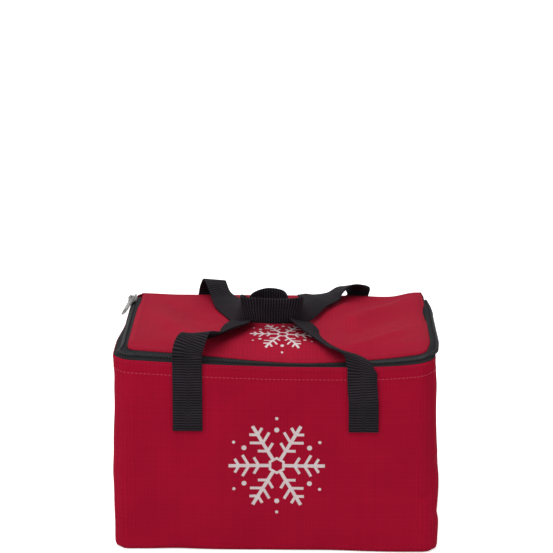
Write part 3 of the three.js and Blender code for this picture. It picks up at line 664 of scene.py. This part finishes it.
resin, tree, shader = new_finish("black zip resin", 0.5, gloss=0.2)
grain = speckle(tree, 400.0)
coloured(tree, shader, grain, (0.005, 0.005, 0.006), (0.02, 0.02, 0.022))
tree.links.new(scaled(tree, grain, 0.2, 0.4), shader.inputs["Roughness"])

zinc, tree, shader = new_finish("cast zinc", 0.35, 1.0)
brushed = speckle(tree, 500.0, 4.0)
coloured(tree, shader, brushed, (0.13, 0.128, 0.125), (0.3, 0.295, 0.29))
tree.links.new(scaled(tree, brushed, 0.35, 0.2), shader.inputs["Roughness"])
raise_surface(tree, shader, brushed, 0.05)
for name in ("zip_slider", "zip_pull"):
    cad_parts[name].data.materials.clear()
    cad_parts[name].data.materials.append(zinc)
print("finishes:", len(bpy.data.materials))


# %% [markdown]
# ## The shell of the tub
# Front, sides and back are sewn into one sleeve, and the base is sewn into its foot. A grid is
# wrapped round the plan from the turned-under edge of the base up to the zip, and the back edges
# are welded. The hole left in the base is filled, so the underside is closed as well.

# %% Shell of the tub
UNDER = 6
BASE_SHARE = 0.04
FOOT_SHARE = 0.12
WALLS = ("front", "left", "right", "back", "base")
FINE_GRID = (264, 76)
PLAIN_GRID = (132, 38)


def wall_profile(v, inset, top):
    foot = max(FOOT_RADIUS - inset, 0.8)
    if v < BASE_SHARE:
        return inset + foot + UNDER * (1 - v / BASE_SHARE), inset
    if v < FOOT_SHARE:
        turn = (v - BASE_SHARE) / (FOOT_SHARE - BASE_SHARE) * math.pi / 2
        return inset + foot * (1 - math.sin(turn)), inset + foot * (1 - math.cos(turn))
    rise = (v - FOOT_SHARE) / (1 - FOOT_SHARE)
    return inset, inset + foot + rise * (top - inset - foot)


def on_wall(walls, distance, inset, z, bulge=1.0):
    x, y, nx, ny = walk(walls, distance, inset)
    out = bulge * wall_bulge(x, y, nx, ny, z)
    x += nx * (SIDE_BELLY * belly(z) + out)
    y += ny * (FRONT_BELLY * belly(z) + out)
    return x, y, z - sag(x, y, z)


def tub_layer(inset, top, grid, ripple=None):
    around = length_of(ROUND_BAG)

    def place(u, v):
        deep, z = wall_profile(v, inset, top)
        x, y, z = on_wall(ROUND_BAG, u * around, deep, z)
        lift = foot_lift(x, y) * (1 - smooth(z, 0, 60)) * smooth(v, 0, FOOT_SHARE)
        if ripple:
            x, y, z = ripple(x, y, z)
        return x, y, z + lift

    bm = wrapped_grid(*grid, place, (around, top + FOOT_RADIUS), weld=True)
    lowest = [e for e in bm.edges if e.is_boundary and max(v.co.z for v in e.verts) < 0.03]
    chart = bm.loops.layers.uv["cloth"]
    for face in bmesh.ops.holes_fill(bm, edges=lowest)["faces"]:
        for loop in face.loops:
            loop[chart].uv = loop.vert.co.xy
    return bm


def tub_piece(name, layer, finish, kind, thickness):
    piece = finished(name, layer, finish, "tub", [wall + kind for wall in WALLS])
    thickened(piece, thickness)
    return piece


shell_layer = tub_layer(0, RIM, FINE_GRID)
tub_piece("tub_shell", shell_layer, front_cloth, "_panel", thickness=0.8)

# %% [markdown]
# ## Foam and lining of the tub
# Closed-cell foam stands between the shell and the lining. It is never seen, but it gives the
# walls their thickness where the solids have it. The lining is a crinkled foil that shows when
# the lid is open, so its grid gets a fine ripple of its own.

# %% Foam and lining of the tub
FILL_TOP = RIM - 2.5
FOAM_INSET = 2.05
LINING_INSET = 5.5
foam_layer = tub_layer(FOAM_INSET, FILL_TOP, PLAIN_GRID)
tub_foam = tub_piece("tub_foam", foam_layer, foam, "_foam", thickness=3)


def foil_ripple(x, y, z):
    crinkle = 0.12 * wave(x, y, z, 9, 5.5) + 0.08 * wave(x, y, z, 4, 2.2)
    return x + crinkle, y + crinkle, z


lining_layer = tub_layer(LINING_INSET, FILL_TOP, FINE_GRID, foil_ripple)
tub_piece("tub_lining", lining_layer, foil, "_lining", thickness=0.35)

# %% [markdown]
# ## The lid
# Lid and back are one length of cloth: it lies over the top, turns down at the back and is sewn
# to the back wall. Its grid runs from the front edge to that seam. The edge along the zip is
# turned down in a small hem. The fold belongs half to the tub and half to the lid; the piece is
# set in place and not attached to either body.


# %% The lid's surface
def lid_half_width(y, inset=0.0):
    radius = CORNER_RADIUS - LID_INSET
    core = HALF_WIDTH - CORNER_RADIUS
    behind = min(max(y + HALF_DEPTH - LID_INSET, 0), radius)
    return core + math.sqrt(max(radius**2 - (radius - behind) ** 2, 0)) - inset


def rear_peak(x, y):
    """The rear corners of the lid stand up, the right one more, past a small dip."""
    rise = 3.6 * smooth(x, 98, 122) - 1.0 * hump(x, 92, 14)
    return rise * smooth(y, 20, 66) + 1.2 * smooth(-x, 90, 126) * smooth(y, 30, 66)


LID_FOLDS = [
    (3.4, (64, 10), (112, 57), 8),
    (3.2, (72, -48), (124, -8), 7),
    (-2.4, (66, -16), (118, 30), 9),
    (-1.5, (40, 60), (84, 62), 8),
    (2.6, (-118, 30), (-70, -40), 10),
    (-1.7, (-95, 44), (-62, 0), 9),
]


def lid_top(x, y):
    """Height of the lid's upper face, with its soft waves, its folds and its raised corners."""
    wide = lid_half_width(y)
    from_side = max(wide - abs(x), 0)
    from_front = max(y + HALF_DEPTH - LID_INSET, 0)
    inner = smooth(min(from_side, from_front, HALF_DEPTH - y), 3, 34)
    soft = 2.0 * wave(x, y, 0, 58, 4.4) + 0.8 * wave(x, y, 0, 23, 9.1)
    folds = sum(high * ridge_line(x, y, *fold) for high, *fold in LID_FOLDS)
    flat = LID_HEIGHT - sag(x, y, LID_HEIGHT) - lid_drop(x, y)
    return flat + inner * (soft + folds) + rear_peak(x, y)


LIP_END = 160
LID_FRONT = -(HALF_DEPTH - LID_INSET)
TOP_SHARE = 0.8
BEND_SHARE = 0.9


def lid_profile(v):
    rear = HALF_DEPTH - FOLD_RADIUS
    if v < TOP_SHARE:
        t = v / TOP_SHARE
        return LID_FRONT + (rear - LID_FRONT) * (t + 0.35 * t * (1 - t) * (2 * t - 1)), LID_HEIGHT
    if v < BEND_SHARE:
        turn = (v - TOP_SHARE) / (BEND_SHARE - TOP_SHARE) * math.pi / 2
        return rear + FOLD_RADIUS * math.sin(turn), LID_HEIGHT - FOLD_RADIUS * (1 - math.cos(turn))
    drop = (v - BEND_SHARE) / (1 - BEND_SHARE)
    return HALF_DEPTH, LID_HEIGHT - FOLD_RADIUS + drop * (LIP_END - LID_HEIGHT + FOLD_RADIUS)


def lid_place(u, v):
    y, z = lid_profile(v)
    t = 2 * u - 1
    spread = min(LID_HEIGHT - z, 4.5)
    x = (lid_half_width(y) + spread) * (1.3 * t - 0.3 * t**3)
    to_edge = min(lid_half_width(y) + spread - abs(x), y - LID_FRONT)
    hem = 1.3 * (1 - smooth(to_edge, 0, 2.6)) if v < TOP_SHARE else 0
    rise = lid_top(x, y) - LID_HEIGHT
    fade = 1 - smooth(v, TOP_SHARE, BEND_SHARE)
    return x, y, z + rise * fade - hem


lid_shell = finished(
    "lid_shell",
    wrapped_grid(132, 110, lid_place, (2 * HALF_WIDTH, 2 * HALF_DEPTH + LID_HEIGHT - LIP_END)),
    lid_cloth,
    replaces=["lid_panel"],
)
thickened(lid_shell, thickness=0.7)
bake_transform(lid_shell)

# %% Foam and lining of the lid
LID_FILL_INSET = 3.2
REAR_GAP = 7


def lid_layer(depth, columns, rows, ripple=0.0):
    front, rear = LID_FRONT + LID_FILL_INSET, HALF_DEPTH - REAR_GAP

    def place(u, v):
        y = front + (rear - front) * v
        x = lid_half_width(y - LID_FILL_INSET, LID_FILL_INSET) * (2 * u - 1)
        crinkle = ripple * (wave(x, y, 0, 9, 6.1) + 0.7 * wave(x, y, 0, 4, 1.7))
        return x, y, lid_top(x, y) - depth + crinkle

    return wrapped_grid(columns, rows, place, (2 * HALF_WIDTH, 2 * HALF_DEPTH))


lid_foam = finished("lid_padding", lid_layer(2.1, 66, 40), foam, "lid", ["lid_foam"])
thickened(lid_foam, thickness=3.6)
lid_foil = finished(
    "lid_foil", lid_layer(6.3, 132, 80, 0.15), foil, "lid", ["lid_lining"]
)
thickened(lid_foil, thickness=0.3)

# %% [markdown]
# ## Bands: zip tapes and bindings
# A tape is a narrow band with a bent section that runs along the rim. The band is one grid whose
# long side follows the walk and whose short side goes once round the section. Its long edges are
# welded and its two ends are filled, which makes a closed, thin solid. A band that goes all the
# way round meets itself, and needs no filling.


# %% Zip place and bands
def on_zip(distance, t, n):
    """A point of the sloping zip: t up the slope, n out of the tape, in mm."""
    _, y, nx, _ = walk(ALONG_ZIP, distance, TAPE_DEPTH)
    lift = 2.2 * (1 - smooth(y, 30, 66)) + 0.3 * smooth(-y, 10, 50)
    n += max(nx, 0) * lift * (1 - smooth(t, 8.5, 12))
    at_corner = smooth(-y, 56, 68)
    bow = (rim_push(nx, y) + 0.8 * max(-nx, 0)) * max(1 - smooth(t, 0.3, 2.4), at_corner)
    inset = TAPE_DEPTH + (t - n) * SLANT - max(bow, 0)
    x, y, _, _ = walk(ALONG_ZIP, distance, inset)
    z = RIM + (t + n) * SLANT - lid_drop(x, y) * min(max(t / ZIP_WIDTH, 0), 1.2)
    lifted = smooth(t, 10.6, ZIP_WIDTH) if x < 0 else share(t / ZIP_WIDTH)
    return x, y, z - sag(x, y, z) + rear_peak(x, y) * lifted


def band(length, section, place, columns, width, closed=False):
    """section is a closed loop of (a, b) pairs; place(distance, a, b) puts one in mm."""
    count = len(section)

    def spot(u, v):
        a, b = section[round(v * count) % count]
        return place(u * length, a, b)

    bm = wrapped_grid(columns, count, spot, (length, width), weld=True)
    if not closed:
        bmesh.ops.holes_fill(bm, edges=[e for e in bm.edges if e.is_boundary])
    bmesh.ops.recalc_face_normals(bm, faces=bm.faces)
    return bm


def strip_section(line, half):
    """The outline of a thin strip whose middle runs through the points of line."""
    sides = []
    for sign in (1, -1):
        side = []
        for i, point in enumerate(line):
            before, after = line[max(i - 1, 0)], line[min(i + 1, len(line) - 1)]
            run = (Vector(after) - Vector(before)).normalized()
            side.append((point[0] - sign * half * run.y, point[1] + sign * half * run.x))
        sides.append(side)
    return sides[0] + sides[1][::-1]


ZIP_LENGTH = length_of(ALONG_ZIP)
TAPE = 0.6
SLOT = 0.7
ZIP_STEPS = 190
RIM_STEPS = 200


def lower_place(distance, t, n):
    if t >= 0:
        return on_zip(distance, t, n)
    x, y, _, _ = walk(ALONG_ZIP, distance, TAPE_DEPTH - n)
    return x, y, RIM + t - sag(x, y, RIM + t)


lower_heights = [-12, -7, -2, 0.4, 1.2, 2.2, 3.6, ZIP_MIDDLE - SLOT]
lower_line = [(t, 0) for t in lower_heights]
lower_band = band(ZIP_LENGTH, strip_section(lower_line, TAPE / 2), lower_place, ZIP_STEPS, 34)
finished("lower_zip_tape", lower_band, zip_tape_black, "tub", ["zip_tape_lower"])
upper_line = [(ZIP_MIDDLE + SLOT, 0), (8.5, 0), (11.2, 0), (12, -1), (13.2, -2.7), (14.8, -4.4)]
upper_band = band(ZIP_LENGTH, strip_section(upper_line, TAPE / 2), on_zip, ZIP_STEPS, 20)
finished("upper_zip_tape", upper_band, zip_tape_black, "lid", ["zip_tape_upper"])


# %% Bindings
def rim_place(distance, inset, drop):
    z = RIM - 1.2 - drop
    return on_wall(ROUND_BAG, distance, inset, z, 0)


ROUND_LENGTH = length_of(ROUND_BAG)
rim_line = [(2.4, 0.5), (4.6, 0.5), (6.2, 0.8), (6.75, 2), (6.75, 6), (6.75, 10.5)]
rim_section = strip_section(rim_line, 0.45)
rim_band = band(ROUND_LENGTH, rim_section, rim_place, RIM_STEPS, 24, closed=True)
finished("rim_binding_tape", rim_band, binding_black, "tub", ["rim_binding"])


def lid_bound_place(distance, inset, drop):
    x, y, _, _ = walk(ROUND_BAG, distance, LID_INSET + inset)
    y = min(y, HALF_DEPTH - FOLD_RADIUS - inset + 1)
    return x, y, lid_top(x, y) - drop


lid_line = [(1.4, 2.6), (1.4, 4.5), (1.6, 6.4), (2.4, 7.2), (4, 7.3), (5.4, 7.3)]
lid_section = strip_section(lid_line, 0.4)
lid_band = band(ROUND_LENGTH, lid_section, lid_bound_place, RIM_STEPS, 20, closed=True)
finished("lid_binding_tape", lid_band, binding_black, "lid", ["lid_binding"])

# %% [markdown]
# ## Zip teeth
# The chain is a row of small moulded hooks on each tape that mesh in the middle. One tooth is a
# cube that is drawn out and bevelled. Copies of it are set along the walk, each turned to its
# place, and the two rows are half a pitch apart. They stay few-sided, since there are hundreds.

# %% Teeth
PITCH = 2.6
CHAIN_START = 19
CHAIN_REST = 4
TOOTH_OFF = 0.85
TOOTH_SEAT = 1.05
TOOTH_LONG, TOOTH_HIGH = 3.1, 1.5
TOOTH_WIDE, RIGHT_WIDE = 1.1, 1.28


def tooth_row(name, body, node, up, phase):
    bm = bmesh.new()
    distance = CHAIN_START + phase
    middle = ZIP_MIDDLE + up * TOOTH_OFF
    while distance < ZIP_LENGTH - CHAIN_REST:
        centre = Vector(on_zip(distance, middle, TOOTH_SEAT))
        ahead = Vector(on_zip(distance + 0.5, middle, TOOTH_SEAT)) - centre
        upward = Vector(on_zip(distance, middle + 0.5, TOOTH_SEAT)) - centre
        outward = ahead.cross(upward).normalized()
        upward = outward.cross(ahead).normalized()
        size = (RIGHT_WIDE if centre.x > 60 else TOOTH_WIDE, TOOTH_LONG, TOOTH_HIGH)
        place = posed(centre, ahead.normalized(), upward, outward, size)
        made = bmesh.ops.create_cube(bm, size=1, matrix=place)["verts"]
        edges = list({edge for vert in made for edge in vert.link_edges})
        bmesh.ops.bevel(
            bm, geom=edges, offset=0.25 * MM, segments=1, profile=0.5, affect="EDGES", material=-1
        )
        distance += PITCH
    finished(name, bm, resin, body, [node])


tooth_row("lower_teeth", "tub", "zip_teeth_lower", -1, 0)
tooth_row("upper_teeth", "lid", "zip_teeth_upper", 1, PITCH / 2)

# %% [markdown]
# ## Webbing handles
# The front handle is one strap. Its ends are sewn flat on the wall, and its loop bends over the
# edge and lies on the lid, where it tilts and twists as webbing does. The rear handle is a loop
# and two sewn ends, because the loop moves with the lid. A smooth curve is run through a route of
# a few points, each with the way that the strap's inner edge faces. Both loops cross their hinges.
# The front strap and the rear loop are set in place without a body; the rear sewn ends go with the
# tub.

# %% Routes
FRONT_LEFT, FRONT_RIGHT = -75, 73
REAR_LEFT, REAR_RIGHT = -62, 66
STRAP_GAP = 0.4
STRAP_MIDDLE = STRAP_GAP + STRAP / 2
SEWN_TOP = HINGE_HEIGHT - 3
SEWN_STEPS = 8
FRONT_LINE = -HALF_DEPTH - STRAP_MIDDLE
BACK_LINE = HALF_DEPTH + STRAP_MIDDLE


def route_point(x, y, z, inward, tilt, square=1.0):
    """A place, the way to the inner edge, and how square to the run the strap's section is."""
    turn = math.radians(tilt)
    across = Vector((inward[0], inward[1], 0)).normalized() * math.cos(turn)
    across.z = math.sin(turn)
    return Vector((x, y, z)), across, square


def over_lid(x, y, low, inward, tilt):
    rise = STRAP_WIDTH / 2 * math.sin(math.radians(tilt))
    return route_point(x, y, lid_top(x, y) + low + STRAP / 2 + rise, inward, tilt)


def leg(free, lying):
    """Points in the air first, then points that lie on the lid."""
    return [route_point(*point) for point in free] + [over_lid(*point) for point in lying]


FRONT_LEFT_FREE = [
    (FRONT_LEFT, FRONT_LINE, HINGE_HEIGHT, (1, 0), 0),
    (-74.3, FRONT_LINE + 0.4, 182, (1, 0), 0),
    (-71.5, FRONT_LINE + 4, 188.5, (1, -0.05), 3),
    (-67.5, FRONT_LINE + 11, 192, (1, -0.15), 8),
    (-61, FRONT_LINE + 21, 188.5, (1, -0.6), 18),
    (-54, FRONT_LINE + 30, 184.4, (0.8, -1), 30),
    (-45, -34, 182.8, (0.8, -0.9), 30),
]
FRONT_LEFT_LYING = [
    (-37, -19, 0.9, (1, -0.7), 15),
    (-32.5, -6, 0.9, (1, -0.5), 17),
    (-29.5, 3, 0.9, (1, -0.5), 36),
    (-24.5, 10, 1, (0.8, -1), 70),
]
FRONT_RIGHT_FREE = [
    (FRONT_RIGHT - 1.6, FRONT_LINE, 163, (-1, 0), 6, 0),
    (70, FRONT_LINE, 167.5, (-1, 0), 14, 0),
    (68.2, FRONT_LINE + 0.7, 172.5, (-1, 0), 20, 0),
    (64.8, FRONT_LINE + 4, 175.2, (-1, -0.2), 22, 0.2),
    (58.6, FRONT_LINE + 13, 175.6, (-1, -0.6), 23, 0.7),
    (51.5, -56, 174.8, (-0.9, -0.85), 24),
    (42.6, -44.5, 176.3, (-0.85, -0.9), 25),
    (31.6, -31, 179.8, (-1, -0.75), 28),
]
FRONT_RIGHT_LYING = [
    (22, -16, 0.9, (-1, -0.6), 21),
    (15, -4, 0.9, (-1, -0.5), 27),
    (10.5, 7, 1, (-0.9, -0.9), 62),
    (3, 14, 1, (-0.5, -1), 84),
]
REAR_LEFT_FREE = [
    (REAR_LEFT, BACK_LINE, HINGE_HEIGHT, (1, 0), 0),
    (-61, BACK_LINE - 0.2, 184, (1, 0.2), -4, 0),
    (-60.3, BACK_LINE - 1.9, 191.5, (1, 0.6), -12, 0),
    (-59, BACK_LINE - 6.7, 196, (1, 0.75), -14, 0),
    (-56.5, BACK_LINE - 14, 194, (0.8, 0.85), -9, 0),
    (-52, 53, 187, (0.65, 0.9), 2, 0.2),
]
REAR_LEFT_LYING = [
    (-45, 38, 1.2, (0.6, 0.9), 10),
    (-39, 24, 0.9, (0.76, 0.65), 24),
    (-34.8, 8.5, 1, (1, 0.55), 46),
    (-32.5, -6, 2.2, (1, 0.7), 80),
    (-28.5, -15, 4.2, (0.8, 1), 103),
    (-18, -19.5, 5, (0.3, 1), 103),
]
REAR_RIGHT_FREE = [
    (REAR_RIGHT, BACK_LINE, HINGE_HEIGHT + 0.5, (-1, 0), 0, 0),
    (67, BACK_LINE, 180, (-1, 0), -6, 0),
    (69, BACK_LINE - 0.5, 183, (-1, 0.1), -20, 0),
    (68, BACK_LINE - 3.2, 186.6, (-0.85, 0.8), -31, 0),
    (61.5, 71, 191.3, (-0.45, 1), -21, 0),
    (54.5, 66.5, 190.4, (-0.4, 1), -14, 0),
    (47.5, 60, 186.6, (-0.5, 1), -8, 0.4),
    (40, 48.5, 187, (-0.85, 0.55), 4),
    (33, 36.5, 189.4, (-0.9, 0.45), 16),
    (28.5, 26, 190.8, (-0.92, 0.4), 24),
    (25, 13, 192, (-0.9, 0.45), 40),
]
REAR_RIGHT_LYING = [
    (22, -1, 2.4, (-1, 0.5), 68),
    (18.5, -13, 4.2, (-0.8, 1), 98),
    (8, -19, 5, (-0.3, 1), 103),
]


def front_skin(x, z):
    """Y of the front wall's outer face, in mm, at its hanging height."""
    out = wall_bulge(x, -HALF_DEPTH, 0, -1, z)
    return -(HALF_DEPTH + FRONT_BELLY * belly(z) + out)


def sewn_run(x, facing, top=SEWN_TOP, lean=0.0):
    """The sewn end of a strap, from its foot up to the zip, where it leans aside."""
    points = []
    for i in range(SEWN_STEPS + 1):
        z = STRAP_FOOT + (top - STRAP_FOOT) * i / SEWN_STEPS
        if facing < 0:
            y = min(front_skin(x + shift, z) for shift in (-12, 0, 12))
        else:
            y = HALF_DEPTH + FRONT_BELLY * belly(z) + max(wall_bulge(x, HALF_DEPTH, 0, 1, z), 0)
        y += facing * STRAP_MIDDLE
        points.append(route_point(x + lean * smooth(z, 130, top), y, z, (-x, 0), 0))
    return points


# %% The strap
def between(points, u):
    """A smooth curve through the points, with u from 0 to 1."""
    last = len(points) - 1
    i = min(int(u * last), last - 1)
    t = u * last - i
    p0, p1, p2, p3 = (points[min(max(i + k, 0), last)] for k in (-1, 0, 1, 2))
    bend = 2 * p1 + (p2 - p0) * t + (2 * p0 - 5 * p1 + 4 * p2 - p3) * t**2
    return 0.5 * (bend + (3 * p1 - p0 - 3 * p2 + p3) * t**3)


def strap_section():
    """Round the strap once: thickness falls off at its two edges."""
    half, thick = STRAP_WIDTH / 2, STRAP / 2
    spots = [-1, -0.975, -0.93, -0.6, -0.3, 0, 0.3, 0.6, 0.93, 0.975, 1]
    swell = [0.35, 0.75, 1, 1, 1, 1, 1, 1, 1, 0.75, 0.35]
    top = [(half * s, thick * h) for s, h in zip(spots, swell)]
    return top + [(a, -b) for a, b in reversed(top)]


def strap_band(route, stations, settle=4):
    """The strap and its length in mm; settle is how often its route is evened out."""
    middles, acrosses, squares = (
        [between(values, i / stations) for i in range(stations + 1)] for values in zip(*route)
    )
    for _ in range(settle):
        for line in (middles, acrosses):
            line[1:-1] = [(a + 2 * b + c) / 4 for a, b, c in zip(line, line[1:], line[2:])]
    run_to = [0.0]
    for a, b in zip(middles, middles[1:]):
        run_to.append(run_to[-1] + (b - a).length)
    length = run_to[-1]

    def place(distance, a, b):
        i = round(distance / length * stations)
        ahead = (middles[min(i + 1, stations)] - middles[max(i - 1, 0)]).normalized()
        across = (acrosses[i] - ahead * acrosses[i].dot(ahead) * squares[i]).normalized()
        normal = ahead.cross(across).normalized()
        return middles[i] + across * a + normal * b

    section = strap_section()
    bm = band(length, section, place, stations, 2 * STRAP_WIDTH)
    chart = bm.loops.layers.uv["cloth"]
    count = len(section)
    for face in bm.faces:
        for loop in face.loops:
            station = round(loop[chart].uv.x / (length * MM) * stations)
            spot = round(loop[chart].uv.y / (2 * STRAP_WIDTH * MM) * count) % count
            loop[chart].uv = (run_to[station] * MM, (section[spot][0] + STRAP_WIDTH / 2) * MM)
    return bm, length


front_route = [
    *sewn_run(FRONT_LEFT, -1),
    *leg(FRONT_LEFT_FREE, FRONT_LEFT_LYING),
    over_lid(-10, 17, 1, (0, -1), 90),
    *reversed(leg(FRONT_RIGHT_FREE, FRONT_RIGHT_LYING)),
    *reversed(sewn_run(FRONT_RIGHT, -1, RIM - 15, -1.5)),
]
bm, front_length = strap_band(front_route, 420)
front_nodes = ["front_handle_loop", "front_handle_end_left", "front_handle_end_right"]
front_strap = finished("front_handle_strap", bm, webbing, replaces=front_nodes)
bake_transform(front_strap)
rear_route = [
    *leg(REAR_LEFT_FREE, REAR_LEFT_LYING),
    over_lid(-5, -20.5, 5, (0, 1), 103),
    *reversed(leg(REAR_RIGHT_FREE, REAR_RIGHT_LYING)),
]
bm, rear_length = strap_band(rear_route, 280)
rear_strap = finished(
    "rear_handle_strap", bm, webbing, replaces=["rear_handle_loop"]
)
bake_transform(rear_strap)
for x, label in ((REAR_LEFT, "left"), (REAR_RIGHT, "right")):
    bm, _ = strap_band(sewn_run(x, 1), 60, 1)
    node = "rear_handle_end_" + label
    finished(node + "_strap", bm, webbing, "tub", [node])
print(f"front strap {front_length:.0f} mm, rear loop {rear_length:.0f} mm")

# %% [markdown]
# ## Stitching
# Two rows of stitches hold the zip tape to the walls, another runs along the lid's edge, and a box
# of stitches holds each strap end. One stitch is a small stretched ball, half sunk in the cloth.
# Rows are given as points on the surface, and stitches are set at even steps between them.


# %% Stitches
STITCH = 2.6
STITCH_STEP = STITCH + 0.9
ROW_STEPS = 240
ROW_END = 2


def stitch_row(bm, points, thick):
    """Stitches along a line of (point, outward) pairs, in mm."""
    carried = 0.0
    for (a, out_a), (b, out_b) in zip(points, points[1:]):
        run = b - a
        while carried < run.length:
            t = carried / run.length
            ahead = run.normalized()
            outward = (out_a.lerp(out_b, t) - ahead * out_a.dot(ahead)).normalized()
            size = (STITCH / 2, thick / 2, thick / 2)
            place = posed(a.lerp(b, t), ahead, outward.cross(ahead), outward, size)
            bmesh.ops.create_uvsphere(bm, u_segments=6, v_segments=4, radius=1, matrix=place)
            carried += STITCH_STEP
        carried -= run.length


def stitched(name, rows, finish, body, thick=0.5):
    bm = bmesh.new()
    for row in rows:
        stitch_row(bm, row, thick)
    finished(name, bm, finish, body)


def wall_row(below):
    row = []
    for i in range(ROW_STEPS + 1):
        distance = ROW_END + (ZIP_LENGTH - 2 * ROW_END) * i / ROW_STEPS
        x, y, z = on_wall(ALONG_ZIP, distance, -0.1, RIM - below)
        _, _, nx, ny = walk(ALONG_ZIP, distance, 0)
        row.append((Vector((x, y, z)), Vector((nx, ny, 0))))
    return row


def lid_row(inset):
    """A row along the lid's edge, up to its fold."""
    row = []
    for i in range(ROW_STEPS + 1):
        x, y, _, _ = walk(ALONG_ZIP, ZIP_LENGTH * i / ROW_STEPS, LID_INSET + inset)
        if y < HALF_DEPTH - 10:
            row.append((Vector((x, y, lid_top(x, y) + 0.1)), Vector((0, 0, 1))))
    return row


def box_rows(x0, facing):
    """A box with two diagonals on the sewn end of a strap."""
    low, high, half = STRAP_FOOT + 3, STRAP_FOOT + 24, STRAP_WIDTH / 2 - 2.6
    run = sewn_run(x0, facing)

    def spot(x, z):
        place = between([p[0] for p in run], (z - STRAP_FOOT) / (SEWN_TOP - STRAP_FOOT))
        return Vector((x, place.y + facing * (STRAP / 2 + 0.08), z)), Vector((0, facing, 0))

    a, b = spot(x0 - half, low), spot(x0 + half, low)
    c, d = spot(x0 + half, high), spot(x0 - half, high)
    return [[a, b, c, d, a], [a, c], [b, d]]


stitched("wall_stitches", [wall_row(11)], red_thread, "tub")
stitched("rim_stitches", [wall_row(2.2)], dark_red_thread, "tub", thick=0.4)
stitched("lid_stitches", [lid_row(3.4)], dark_red_thread, "lid")
strap_ends = ((FRONT_LEFT, -1), (FRONT_RIGHT, -1), (REAR_LEFT, 1), (REAR_RIGHT, 1))
boxes = [row for x, facing in strap_ends for row in box_rows(x, facing)]
stitched("strap_stitches", boxes, black_thread, "tub")

# %% [markdown]
# ## Floor, light and camera
# The bag stands on a plain pale floor under a large soft lamp, with a weaker one at each side, as
# in a product studio. The floor and the world look white to the camera and to reflections, while
# the light that they throw on the bag stays at a plain level. The camera has a long lens, stands a
# little to the right and looks down on the lid.


# %% Floor and world
def seen_directly(tree):
    """One for rays that see a thing, nought for those that only carry its light."""
    path = new_node(tree, "ShaderNodeLightPath").outputs
    showing = sum_of(tree, "MAXIMUM", path["Is Camera Ray"], path["Is Glossy Ray"])
    return sum_of(tree, "MAXIMUM", showing, path["Is Transmission Ray"])


pale, tree, shader = new_finish("pale floor", 0.9)
shader.inputs["Base Color"].default_value = (0.86, 0.86, 0.86, 1)
glow = new_node(tree, "ShaderNodeEmission")
tree.links.new(times(tree, seen_directly(tree), 0.62), glow.inputs["Strength"])
both_shaders = new_node(tree, "ShaderNodeAddShader")
tree.links.new(shader.outputs[0], both_shaders.inputs[0])
tree.links.new(glow.outputs[0], both_shaders.inputs[1])
tree.links.new(both_shaders.outputs[0], tree.nodes["Material Output"].inputs["Surface"])
bm = bmesh.new()
bmesh.ops.create_grid(bm, x_segments=1, y_segments=1, size=8)
floor = finished("floor", bm, pale)

world = bpy.data.worlds.new("studio")
bpy.context.scene.world = world
world.use_nodes = True
tree = world.node_tree
sky = tree.nodes["Background"]
shown = scaled(tree, seen_directly(tree), 0.5, 0.5)
tree.links.new(shown, sky.inputs["Strength"])
sky.inputs["Color"].default_value = (1, 1, 1, 1)


# %% Lamps
LIT_POINT = Vector((0, 0, 0.09))


def soft_lamp(name, place, size, power):
    lamp = bpy.data.lights.new(name, "AREA")
    lamp.shape = "SQUARE"
    lamp.size = size
    lamp.energy = power
    held = bpy.data.objects.new(name, lamp)
    held.location = place
    held.rotation_euler = (LIT_POINT - Vector(place)).to_track_quat("-Z", "Y").to_euler()
    bpy.context.scene.collection.objects.link(held)
    print(f"{name}: {power} W")


soft_lamp("top lamp", (-0.3, -0.5, 1.7), 1.4, 26)
soft_lamp("left lamp", (-1.6, -1.2, 0.9), 1.0, 9)
soft_lamp("right lamp", (1.6, -1.0, 0.8), 1.0, 4.5)
bpy.context.scene.view_settings.view_transform = "Standard"

# %% Camera
AZIMUTH = math.radians(1.17)
ELEVATION = math.radians(20.84)
STAND_OFF = 1.926
FOCAL_PIXELS = 2185
FRAME_PIXELS = 553
AIM_RIGHT, AIM_DOWN = 2.3, 142.1
level = math.cos(ELEVATION)
back_off = Vector((math.sin(AZIMUTH) * level, -math.cos(AZIMUTH) * level, math.sin(ELEVATION)))
lens = bpy.data.cameras.new("camera")
lens.sensor_width = 36
lens.lens = FOCAL_PIXELS / FRAME_PIXELS * lens.sensor_width
lens.clip_end = 100
camera = bpy.data.objects.new("camera", lens)
camera.location = Vector((0, 0, LID_HEIGHT / 2 * MM)) + back_off * STAND_OFF
pitch = ELEVATION - math.atan(AIM_DOWN / FOCAL_PIXELS)
camera.rotation_euler = (math.pi / 2 - pitch, 0, AZIMUTH + math.atan(AIM_RIGHT / FOCAL_PIXELS))
bpy.context.scene.collection.objects.link(camera)
bpy.context.scene.camera = camera
print(f"lens {lens.lens:.0f} mm")

# %% [markdown]
# ## Last step
# The view layer is brought up to date.

# %% Finish
bpy.context.view_layer.update()
